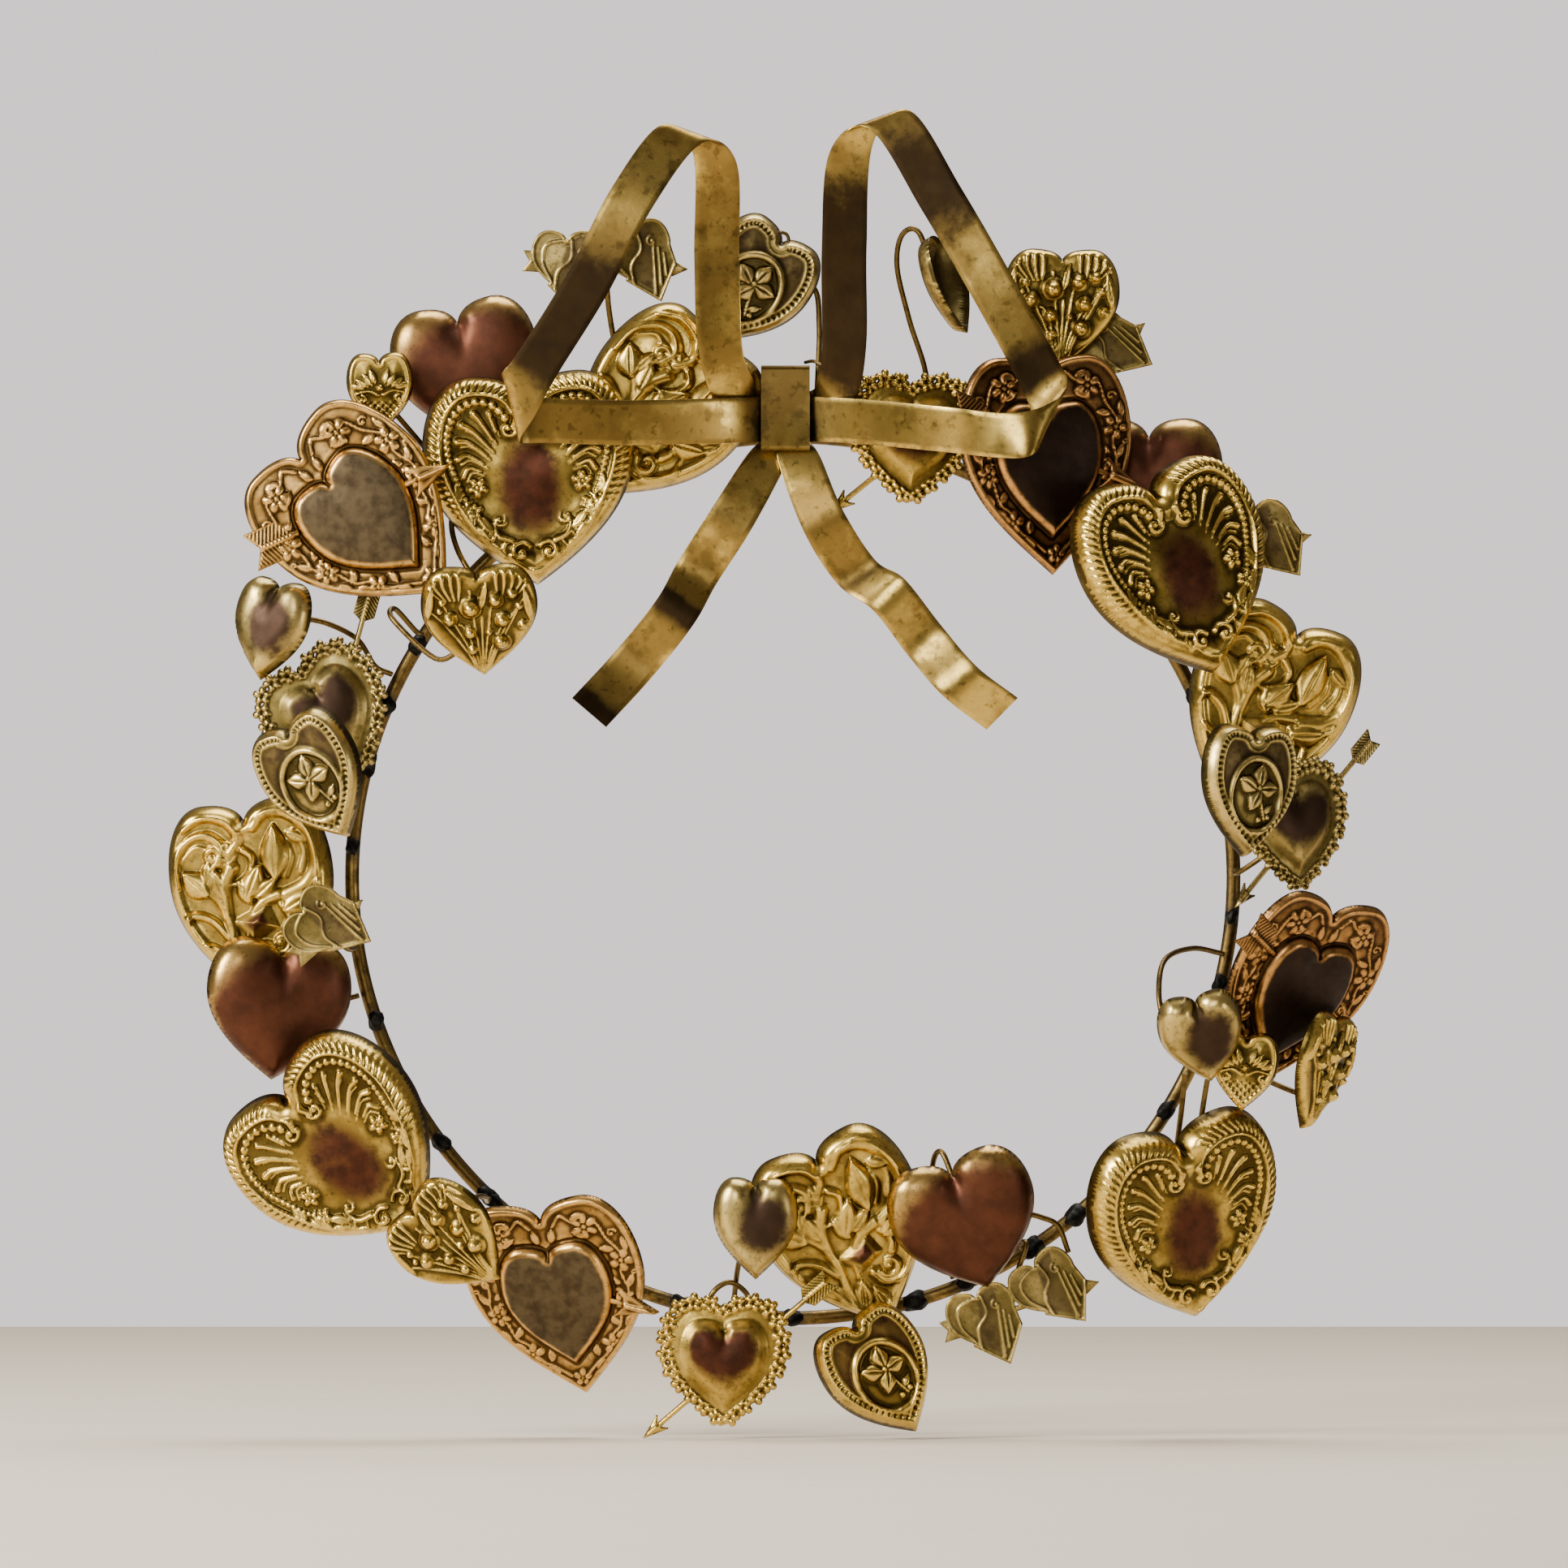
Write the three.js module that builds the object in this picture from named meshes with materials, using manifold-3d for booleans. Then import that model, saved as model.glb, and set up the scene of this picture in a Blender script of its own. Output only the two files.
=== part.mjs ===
// A hanging wreath: a brazed brass ring that carries thirty-nine stamped brass hearts on soldered wire
// stems, with a bow of brass ribbon clamped at the top. Millimetres.
// The wreath is laid out flat, as on a bench: +X right, +Y towards the bow, +Z out of the face. The last
// lines stand it up, so that the face looks along -Y, with the origin under the bow's band, where a pin
// or hook bears.
import * as THREE from "three";
import { mergeVertices } from "three/addons/utils/BufferGeometryUtils.js";
import Module from "manifold-3d";

const RING_RADIUS = 125; // centreline of a 10 inch ring
const ROD = 2; // radius of the ring's rod
const WIRE = 0.8; // radius of a stem
const SHEET = 0.5; // thickness of a stamping
const GAP = 0.35; // left between soldered pieces
const RIBBON = { width: 12.7, thick: 0.5 };
const HALF_OUTLINE = 8; // segments from a heart's cleft to its tip
const SMALL_OUTLINE = 6;
const STEM_SIDES = 5;

const deg = THREE.MathUtils.degToRad;
const v2 = (x, y) => new THREE.Vector2(x, y);
const v3 = (x, y, z) => new THREE.Vector3(x, y, z);

const wasm = await Module();
wasm.setup();

// ---- materials -------------------------------------------------------------------------------------

const metal = (color, roughness) =>
  new THREE.MeshStandardMaterial({ color, roughness, metalness: 1 });
const METALS = {
  rod: metal("#8a7440", 0.45),
  gold: metal("#b8964a", 0.38),
  aged: metal("#97803f", 0.45),
  copper: metal("#a9743f", 0.42),
  russet: metal("#7a4a3a", 0.5),
  wire: metal("#6f5a33", 0.5),
  ribbon: metal("#a58a45", 0.35),
};

// ---- solids ----------------------------------------------------------------------------------------

// A closed geometry as a manifold solid, for joining.
function solid(geometry) {
  const bare = geometry.clone();
  bare.deleteAttribute("normal");
  bare.deleteAttribute("uv");
  const merged = mergeVertices(bare, 1e-3);
  return new wasm.Manifold(
    new wasm.Mesh({
      numProp: 3,
      vertProperties: merged.getAttribute("position").array,
      triVerts: new Uint32Array(merged.index.array),
    }),
  );
}

// Joins geometries into one.
function join(...geometries) {
  const mesh = geometries
    .map(solid)
    .reduce((whole, piece) => whole.add(piece))
    .getMesh();
  return new THREE.BufferGeometry()
    .setAttribute("position", new THREE.BufferAttribute(mesh.vertProperties, 3))
    .setIndex(new THREE.BufferAttribute(mesh.triVerts, 1));
}

function regular(sides, radius) {
  const points = Array.from({ length: sides }, (_, i) =>
    v2(radius, 0).rotateAround(v2(0, 0), (2 * Math.PI * i) / sides),
  );
  return new THREE.Shape(points);
}

// A round wire through points.
function wire(points, steps = 3 * (points.length - 1)) {
  const extrudePath = new THREE.CatmullRomCurve3(points, false, "centripetal");
  return new THREE.ExtrudeGeometry(regular(STEM_SIDES, WIRE), { steps, extrudePath });
}

function plate(points, thick) {
  const shape = new THREE.Shape(points.map(([x, y]) => v2(x, y)));
  return new THREE.ExtrudeGeometry(shape, { depth: thick, bevelEnabled: false });
}

// ---- stampings -------------------------------------------------------------------------------------

// A heart's outline, anticlockwise, with its origin midway between cleft and tip.
function heartOutline({ width, length, notch, belly = 0.38 }, half) {
  const a = width / 2;
  const cleft = length / 2;
  const top = cleft + notch;
  const tip = -length / 2;
  const wide = top - 0.36 * (top - tip);
  const side = new THREE.CurvePath();
  const bend = (...p) => side.add(new THREE.CubicBezierCurve(...p.map(([x, y]) => v2(x, y))));
  bend([0, tip], [belly * a, tip + 0.24 * (wide - tip)], [a, wide - 0.45 * (wide - tip)], [a, wide]);
  bend([a, wide], [a, wide + 0.58 * (top - wide)], [0.8 * a, top], [0.5 * a, top]);
  bend([0.5 * a, top], [0.26 * a, top], [0.06 * a, cleft + 0.7 * notch], [0, cleft]);
  const right = side.getSpacedPoints(half).map(({ x, y }) => v2(x, y));
  const left = right.slice(1, -1).reverse();
  return [...right, ...left.map(({ x, y }) => v2(-x, y))];
}

// A hollow pressing: a lathe's spokes stretched out to the outline. The profile runs from the middle of
// the front over the rim to the middle of the back, as [share of the way out to the outline, height].
function pressing(outline, profile) {
  const points = profile.map(([reach, height]) => v2(reach, height));
  const geometry = new THREE.LatheGeometry(points, outline.length);
  const position = geometry.getAttribute("position");
  for (let i = 0; i < position.count; i++) {
    const spoke = outline.at(-(Math.floor(i / profile.length) % outline.length));
    const [reach, height] = profile[i % profile.length];
    position.setXYZ(i, spoke.x * reach, spoke.y * reach, height);
  }
  return geometry;
}

function domed({ width, depth }) {
  const rim = 1 - (2 * SHEET) / width;
  return [
    [0, depth],
    [0.62, 0.88 * depth],
    [0.93, 0.5 * depth],
    [1, 0],
    [rim, 0],
    [0.9, 0.5 * depth - SHEET],
    [0.6, 0.88 * depth - SHEET],
    [0, depth - SHEET],
  ];
}

// A low border around a raised heart.
function framed({ width, depth, border }) {
  const rim = 1 - (2 * SHEET) / width;
  return [
    [0, depth],
    [0.5, 0.92 * depth],
    [0.62, border],
    [0.95, border],
    [1, 0],
    [rim, 0],
    [0.93, border - SHEET],
    [0.6, border - SHEET],
    [0.48, 0.92 * depth - SHEET],
    [0, depth - SHEET],
  ];
}

// A flat fringe around a puffed heart.
function fringed({ width, depth, puff }) {
  const rim = 1 - (2 * SHEET) / width;
  return [
    [0, depth],
    [0.5, 0.75 * depth],
    [0.68, depth - puff],
    [1, depth - puff],
    [1, 0],
    [rim, 0],
    [0.97, depth - puff - SHEET],
    [0.66, depth - puff - SHEET],
    [0.48, 0.75 * depth - SHEET],
    [0, depth - SHEET],
  ];
}

// An arrow that lies along +X, centred, with its feathers at -X.
function arrow({ span, shaft, head, feather }, thick) {
  const end = span / 2;
  const outline = [
    [end, 0],
    [end - head.long, head.wide / 2],
    [end - 0.8 * head.long, shaft / 2],
    [-end + feather.long, shaft / 2],
    [-end + 0.8 * feather.long, feather.wide / 2],
    [-end, feather.wide / 2],
    [-end + 0.25 * feather.long, 0],
    [-end, -feather.wide / 2],
    [-end + 0.8 * feather.long, -feather.wide / 2],
    [-end + feather.long, -shaft / 2],
    [end - 0.8 * head.long, -shaft / 2],
    [end - head.long, -head.wide / 2],
  ];
  return plate(outline.toReversed(), thick);
}

const BROAD_ARROW = {
  span: 62,
  shaft: 2,
  head: { long: 12, wide: 9 },
  feather: { long: 14, wide: 11 },
};
const LONG_ARROW = {
  span: 70,
  shaft: 1.4,
  head: { long: 8, wide: 6 },
  feather: { long: 9, wide: 5 },
};

// Two flat hearts on one short arrow, each with a pleated end below it on the right.
const TWIN = { width: 20, length: 15.5, notch: 3, thick: 0.8 };
const PLEATS = [
  [-4, -6],
  [6, -12],
  [10.5, -1],
  [8, 7],
  [0, 7],
];
const TWIN_ARROW = {
  span: 47,
  shaft: 1.6,
  head: { long: 6, wide: 6 },
  feather: { long: 7, wide: 6 },
};

function pleatedHeart(x, y, roll) {
  const outline = heartOutline(TWIN, SMALL_OUTLINE).map(({ x, y }) => [x, y]);
  return join(plate(outline, TWIN.thick).rotateZ(deg(14)), plate(PLEATS, TWIN.thick))
    .rotateZ(deg(roll))
    .translate(x, y, 0);
}

function twinHeart() {
  const shaft = arrow(TWIN_ARROW, TWIN.thick);
  return join(pleatedHeart(-11, -1.5, -12), pleatedHeart(9.5, 2, 4), shaft);
}

// One of the two hearts with its end of the arrow.
function halfTwin() {
  const half = { ...TWIN_ARROW, span: 26 };
  return join(pleatedHeart(0, 1, 4), arrow(half, TWIN.thick));
}

const SIZES = {
  rope_heart: { width: 60, length: 52.5, notch: 7.5, belly: 0.5, depth: 10 },
  arrow_heart: { width: 52, length: 56, notch: 6, depth: 5, border: 2 },
  lily_heart: { width: 47.5, length: 53, notch: 5.5, belly: 0.45, depth: 8 },
  plain_heart: { width: 42, length: 34.5, notch: 5.5, belly: 0.45, depth: 7 },
  small_heart: { width: 24, length: 26, notch: 3, depth: 6 },
  fringe_heart: { width: 38, length: 35, notch: 3.5, depth: 4.5, puff: 3 },
  clover_locket: { width: 31.5, length: 34, notch: 3.5, belly: 0.45, depth: 6.5 },
  berry_heart: { width: 33, length: 31, notch: 3, depth: 4 },
  basket_heart: { width: 19, length: 20, notch: 2.5, depth: 3.5 },
};
const heart = (size, profile, half = HALF_OUTLINE) => pressing(heartOutline(size, half), profile(size));

// Each kind of stamping: its shape, the height that its stem starts from, and its metal.
const KINDS = {
  rope_heart: {
    make: () => heart(SIZES.rope_heart, domed),
    crown: SIZES.rope_heart.depth,
    metal: METALS.gold,
  },
  arrow_heart: {
    make: () => {
      const size = SIZES.arrow_heart;
      const shaft = arrow(BROAD_ARROW, 1.2).rotateZ(deg(-24)).translate(-0.8, 7.8, size.border + 0.4);
      return join(heart(size, framed), shaft);
    },
    crown: SIZES.arrow_heart.depth,
    metal: METALS.copper,
  },
  lily_heart: {
    make: () => heart(SIZES.lily_heart, domed),
    crown: SIZES.lily_heart.depth,
    metal: METALS.gold,
  },
  plain_heart: {
    make: () => heart(SIZES.plain_heart, domed),
    crown: SIZES.plain_heart.depth,
    metal: METALS.russet,
  },
  small_heart: {
    make: () => heart(SIZES.small_heart, domed, SMALL_OUTLINE),
    crown: SIZES.small_heart.depth,
    metal: METALS.aged,
  },
  fringe_heart: {
    make: () => {
      const size = SIZES.fringe_heart;
      const shaft = arrow(LONG_ARROW, 0.8).rotateZ(deg(-139.5)).translate(3.6, 2.6, size.depth - size.puff - 0.6);
      return join(heart(size, fringed), shaft);
    },
    crown: SIZES.fringe_heart.depth,
    metal: METALS.aged,
  },
  clover_locket: {
    make: () => heart(SIZES.clover_locket, domed, SMALL_OUTLINE),
    crown: SIZES.clover_locket.depth,
    metal: METALS.aged,
  },
  berry_heart: {
    make: () => heart(SIZES.berry_heart, domed, SMALL_OUTLINE),
    crown: SIZES.berry_heart.depth,
    metal: METALS.gold,
  },
  basket_heart: {
    make: () => heart(SIZES.basket_heart, domed, SMALL_OUTLINE),
    crown: SIZES.basket_heart.depth,
    metal: METALS.gold,
  },
  twin_heart: { make: twinHeart, crown: TWIN.thick, metal: METALS.aged },
  half_twin: { make: halfTwin, crown: TWIN.thick, metal: METALS.aged },
};

// The two stems that arch before they reach the ring, in bench points.
const HOOK = [
  [36, 182, 13],
  [31, 182, 11],
  [29.5, 173, 9],
  [33, 158, 5],
  [38, 140, 2],
];
const ARCH = [
  [-24, -118, 18],
  [-18, -114.5, 15],
  [-13, -118, 8],
];

// Where each stamping sits: its middle, the lift of its rim over the ring's plane, its roll
// anticlockwise, its turn towards +X and its nod towards -Y, in degrees.
const CHARMS = [
  { kind: "twin_heart", n: 1, at: [-53, 173.5], lift: 7, roll: -3, via: [[-52, 160, 2], [-49, 146, 0]] },
  { kind: "clover_locket", n: 1, at: [-12.8, 166], lift: 6, roll: -35, loose: true },
  { kind: "small_heart", n: 1, at: [45.5, 166.5], lift: 15, roll: 16, turn: -112, via: HOOK },
  { kind: "berry_heart", n: 1, at: [76, 159.5], lift: 8, roll: -1 },
  { kind: "half_twin", n: 1, at: [90, 149], lift: 3, roll: 40 },
  { kind: "fringe_heart", n: 1, at: [33.5, 122.5], lift: 5, roll: -2, turn: 10 },
  { kind: "arrow_heart", n: 1, at: [72, 113.5], lift: 19, roll: 3, turn: 20 },
  { kind: "plain_heart", n: 1, at: [101, 107.5], lift: 0 },
  { kind: "rope_heart", n: 1, at: [109.3, 82.5], lift: 28, roll: 20, turn: 28 },
  { kind: "half_twin", n: 2, at: [134.5, 94], lift: 8, roll: 14 },
  { kind: "lily_heart", n: 1, at: [132, 44.5], lift: 8, roll: -24, turn: 8 },
  { kind: "clover_locket", n: 2, at: [127.5, 22.8], lift: 34.8, roll: -3, turn: 35, via: [[121.5, 14, 28]] },
  { kind: "fringe_heart", n: 2, at: [141.5, 13], lift: 20, roll: 4, turn: 35, via: [[127, 2, 14]] },
  { kind: "arrow_heart", n: 2, at: [140, -35.5], lift: 19, roll: -13, turn: 40, nod: 20 },
  { kind: "small_heart", n: 2, at: [115.4, -46], lift: 40, roll: 12, nod: 30, loose: true },
  { kind: "basket_heart", n: 1, at: [127.2, -55.7], lift: 32, roll: -5, via: [[121, -52, 20]] },
  { kind: "berry_heart", n: 2, at: [148, -56], lift: 22, roll: -17, turn: 65, via: [[146, -62, 8]] },
  { kind: "rope_heart", n: 2, at: [109.8, -99.6], lift: 16, roll: 16, turn: 25, nod: 26 },
  { kind: "twin_heart", n: 2, at: [64.5, -121.5], lift: 12, roll: 18, loose: true },
  { kind: "plain_heart", n: 2, at: [50, -100], lift: 18, roll: 18, nod: 15, loose: true },
  { kind: "lily_heart", n: 2, at: [16.8, -103], lift: 10, roll: 24, nod: 16 },
  { kind: "small_heart", n: 3, at: [-10.5, -100.5], lift: 22.3, via: [[-15, -108, 16]] },
  { kind: "fringe_heart", n: 3, at: [-19.5, -138.5], lift: 16, via: ARCH },
  { kind: "clover_locket", n: 3, at: [25.8, -142], lift: 20, roll: 32, turn: 15 },
  { kind: "arrow_heart", n: 3, at: [-64.8, -121.3], lift: 12, roll: 8, turn: -15, nod: 25 },
  { kind: "berry_heart", n: 3, at: [-94.5, -103.3], lift: 38, roll: 52, turn: -30, loose: true },
  { kind: "rope_heart", n: 3, at: [-123.5, -79.8], lift: 20, roll: 47, turn: -18 },
  { kind: "plain_heart", n: 3, at: [-146, -40], lift: 13, roll: -5, turn: 15 },
  { kind: "lily_heart", n: 3, at: [-152, -10], lift: 4, roll: 8, turn: -10 },
  { kind: "half_twin", n: 3, at: [-131, -14.5], lift: 26, roll: 41, via: [[-126, -20, 16]] },
  { kind: "clover_locket", n: 4, at: [-133.5, 26.5], lift: 22, roll: 29, turn: -25 },
  { kind: "fringe_heart", n: 4, at: [-130, 44.5], lift: 12, roll: 34 },
  { kind: "small_heart", n: 4, at: [-147.8, 68.6], lift: 17.2, roll: -12, turn: -30, loose: true },
  { kind: "arrow_heart", n: 4, at: [-118.5, 99.5], lift: 23, roll: 48 },
  { kind: "basket_heart", n: 2, at: [-116.5, 136], lift: 16, roll: 3 },
  { kind: "berry_heart", n: 4, at: [-88, 71.3], lift: 31, roll: 4, nod: 25, loose: true },
  { kind: "rope_heart", n: 4, at: [-74, 109], lift: 14, roll: 4 },
  { kind: "plain_heart", n: 4, at: [-91.5, 140.5], lift: 3, roll: 12 },
  { kind: "lily_heart", n: 4, at: [-41, 129], lift: 2.5, roll: -40 },
];

// ---- stems -----------------------------------------------------------------------------------------

// The point on the ring's centreline that faces a bench point.
function ringPoint(point) {
  return v3(point.x, point.y, 0).setLength(RING_RADIUS);
}

// Where a wire that comes from a point ends, clear of the ring's rod.
function ringEnd(from) {
  const foot = ringPoint(from);
  return foot.clone().add(from.clone().sub(foot).setLength(ROD + WIRE + GAP));
}

// The stem that runs from the hollow of a stamping back to the ring, by way of bench points.
function stem(mesh, crown, via) {
  mesh.updateMatrix();
  const local = (z) => v3(0, 0, z).applyMatrix4(mesh.matrix);
  const way = via ? via.map((p) => v3(...p)) : [local(-3)];
  const end = ringEnd(way.at(-1));
  const near = !via && way[0].distanceTo(end) < 4;
  const points = [local(crown - SHEET / 2), ...(near ? [] : way), end];
  return wire(points, via ? 2 * points.length : 3).applyMatrix4(mesh.matrix.clone().invert());
}

const turned = ({ at, lift, roll = 0, turn = 0, nod = 0 }, mesh) => {
  mesh.position.set(at[0], at[1], lift);
  mesh.rotation.set(deg(nod), deg(turn), deg(roll), "ZYX");
  return mesh;
};

function charm(entry) {
  const { make, crown, metal: finish } = KINDS[entry.kind];
  const mesh = turned(entry, new THREE.Mesh(make(), finish));
  if (!entry.loose) mesh.geometry = join(mesh.geometry, stem(mesh, crown, entry.via));
  mesh.name = `${entry.kind}_${entry.n}`;
  return mesh;
}

// ---- free stems ------------------------------------------------------------------------------------

// Long hooks and loops that show beside their stampings, as bench points that end at the ring.
const STEMS = {
  stem_top_locket: [[-2, 168, 4.5], [6, 167, 4.5], [7.5, 156, 4], [7, 140, 4]],
  stem_bottom_hook: [[45.6, -86, 20], [42, -77.5, 17], [39.5, -82, 12], [40, -100, 6]],
  stem_bottom_arrow: [[62, -116, 10], [66, -104, 11], [64, -104, 6]],
  stem_left_loop: [[-92.5, -98, 40], [-90, -90.5, 36], [-87, -90, 24], [-86.5, -91.5, 10]],
  stem_left_arm: [[-146, 71, 15.8], [-136, 73, 10], [-124, 68, 6], [-118.5, 60, 4]],
  stem_left_hook: [[-94, 64, 26], [-101, 62, 25], [-113, 73, 20], [-112.5, 76, 14], [-107, 70, 7]],
  stem_right_hook: [[104.5, -42, 42], [103, -32, 38], [105, -23, 28], [113, -20, 14]],
};

function freeStem([name, points]) {
  const way = points.map((p) => v3(...p));
  const mesh = new THREE.Mesh(wire([...way, ringEnd(way.at(-1))]), METALS.wire);
  mesh.name = name;
  return mesh;
}

// ---- bow -------------------------------------------------------------------------------------------

// A strip through stations of [x, y, z] at its middle and [x, y, z] across its width, which is over 1 long
// where the section is oblique: a long box whose cross-sections are moved onto the stations.
function strip(stations, steps) {
  const middle = new THREE.CatmullRomCurve3(stations.map(([at]) => v3(...at)), false, "centripetal");
  const across = new THREE.CatmullRomCurve3(stations.map(([, side]) => v3(...side)));
  const geometry = new THREE.BoxGeometry(1, 1, 1, 1, 1, steps);
  const position = geometry.getAttribute("position");
  for (let i = 0; i < position.count; i++) {
    const p = v3().fromBufferAttribute(position, i);
    const t = THREE.MathUtils.clamp(p.z + 0.5, 0, 1);
    const side = across.getPoint(t);
    const out = middle.getTangent(t).cross(side).normalize();
    const moved = middle.getPoint(t);
    moved.addScaledVector(side, p.x * RIBBON.width).addScaledVector(out, p.y * RIBBON.thick);
    position.setXYZ(i, moved.x, moved.y, moved.z);
  }
  return geometry;
}

// The left loop: out along the strip, over the corner, up the outer leg, over the peak and back down.
const LOOP_LEFT = [
  [[-2.6, 130, 4.6], [0, 1, 0]],
  [[-20, 129.2, 18], [0, 1, 0.1]],
  [[-48, 128.4, 29], [0, 1, 0.1]],
  [[-70, 129, 33], [0, 1, 0.1]],
  [[-77, 130.4, 34.5], [-0.2, 1.25, 0]],
  [[-79.2, 132.6, 36.8], [-0.38, 1.42, 0]],
  [[-77, 136.5, 38.8], [-0.7, 1, 0]],
  [[-72, 144.5, 39.6], [-0.87, 0.5, 0]],
  [[-58, 167, 40], [-0.88, 0.48, 0]],
  [[-45, 192, 38], [-0.9, 0.45, 0]],
  [[-31.5, 209.5, 33], [-0.92, 0.4, 0]],
  [[-22, 203, 27], [-0.97, 0.2, 0.1]],
  [[-21.5, 175, 22], [-1, 0, 0.1]],
  [[-20.5, 150, 19], [-0.98, 0, 0.2]],
  [[-16.5, 137.5, 15], [-0.8, -0.6, 0.1]],
  [[-10.2, 131.6, 8.6], [-0.1, -1, 0]],
  [[-2.6, 131.4, 7.4], [0, -1, 0]],
];
const LOOP_RIGHT = [
  [[-1.4, 130, 4.6], [0, 1, 0]],
  [[16, 129.2, 17], [0, 1, 0.1]],
  [[42, 126.4, 37], [0, 1, 0.1]],
  [[58, 124.6, 42], [0, 1, 0]],
  [[67, 125.2, 43], [0.15, 1.05, -0.15]],
  [[72.5, 129, 39.5], [0.5, 1.1, -0.2]],
  [[72.6, 135, 36.5], [0.75, 0.85, 0]],
  [[69, 143, 36], [0.87, 0.5, 0]],
  [[57, 165, 37], [0.88, 0.48, 0]],
  [[42, 191, 36], [0.9, 0.45, 0]],
  [[27.5, 213.5, 33], [0.92, 0.4, 0]],
  [[16.5, 206, 27], [0.97, 0.2, 0.1]],
  [[14.5, 178, 22], [1, 0, 0.1]],
  [[14.5, 150, 19], [0.98, 0, 0.2]],
  [[12, 137.5, 15], [0.8, -0.6, 0.1]],
  [[6, 131.6, 8.6], [0.1, -1, 0]],
  [[-1.4, 131.4, 7.4], [0, -1, 0]],
];
const TAIL_LEFT = [
  [[-6.5, 120.2, 6], [-1, 0, 0]],
  [[-16.6, 102.7, 12], [-0.86, 0.5, 0]],
  [[-26.9, 86.6, 10], [-0.86, 0.5, 0]],
  [[-33.4, 75, 14], [-0.82, 0.56, 0]],
  [[-45.3, 60.1, 12], [-0.78, 0.62, 0]],
  [[-57.6, 46.7, 16], [-0.76, 0.65, 0]],
];
const TAIL_RIGHT = [
  [[1.5, 120.2, 8], [1, 0, 0]],
  [[8.6, 101, 13], [0.86, 0.5, 0]],
  [[18, 86.5, 10], [0.84, 0.54, 0]],
  [[27.2, 80, 14], [0.7, 0.7, 0]],
  [[37.4, 67, 12], [0.74, 0.67, 0]],
  [[47.2, 55.6, 15], [0.76, 0.65, 0]],
  [[59.2, 46.4, 12], [0.7, 0.71, 0]],
];

// The band that clamps ribbon and ring, seen along the ring: a flat sleeve.
const BAND = { wide: 13.8, low: 120.9, high: 145, back: -4.6, front: 11.5, wall: 0.6, round: 1.2 };
const BAND_AT = -2.1;

function slab(low, high, back, front, round) {
  const shape = new THREE.Shape();
  shape.moveTo(low + round, back).lineTo(high - round, back).lineTo(high, back + round);
  shape.lineTo(high, front - round).lineTo(high - round, front);
  shape.lineTo(low + round, front).lineTo(low, front - round).lineTo(low, back + round);
  return shape;
}

function band() {
  const { wide, low, high, back, front, wall, round } = BAND;
  const shape = slab(low, high, back, front, round);
  shape.holes.push(slab(low + wall, high - wall, back + wall, front - wall, round - wall / 2));
  const geometry = new THREE.ExtrudeGeometry(shape, { depth: wide, bevelEnabled: false });
  const toBench = new THREE.Matrix4().makeBasis(v3(0, 1, 0), v3(0, 0, 1), v3(1, 0, 0));
  return geometry.applyMatrix4(toBench).translate(BAND_AT - wide / 2, 0, 0);
}

function ring() {
  return new THREE.TorusGeometry(RING_RADIUS, ROD, 8, 48);
}

const named = (name, geometry, finish) => {
  const mesh = new THREE.Mesh(geometry, finish);
  mesh.name = name;
  return mesh;
};

const wreath = new THREE.Group();
wreath.add(
  named("ring", ring(), METALS.rod),
  named("bow_band", band(), METALS.ribbon),
  named("bow_loop_left", strip(LOOP_LEFT, 32), METALS.ribbon),
  named("bow_loop_right", strip(LOOP_RIGHT, 32), METALS.ribbon),
  named("bow_tail_left", strip(TAIL_LEFT, 14), METALS.ribbon),
  named("bow_tail_right", strip(TAIL_RIGHT, 16), METALS.ribbon),
  ...CHARMS.map(charm),
  ...Object.entries(STEMS).map(freeStem),
);

const object = new THREE.Group();
object.add(wreath);
wreath.rotation.x = Math.PI / 2;
wreath.position.z = -BAND.low;

export default object;
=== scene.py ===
"""The looks of a hanging brass heart wreath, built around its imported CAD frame.

Every piece is laid out on a bench: x to the right, y towards the bow, z out of the face, in millimetres
from the ring's middle. The bench's place in the row frame comes from the CAD ring.
"""

from __future__ import annotations

import logging
import math
from dataclasses import dataclass
from enum import Enum
from typing import Iterable, Sequence

import bmesh
import bpy
import numpy as np
from mathutils import Matrix, Vector, noise

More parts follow.
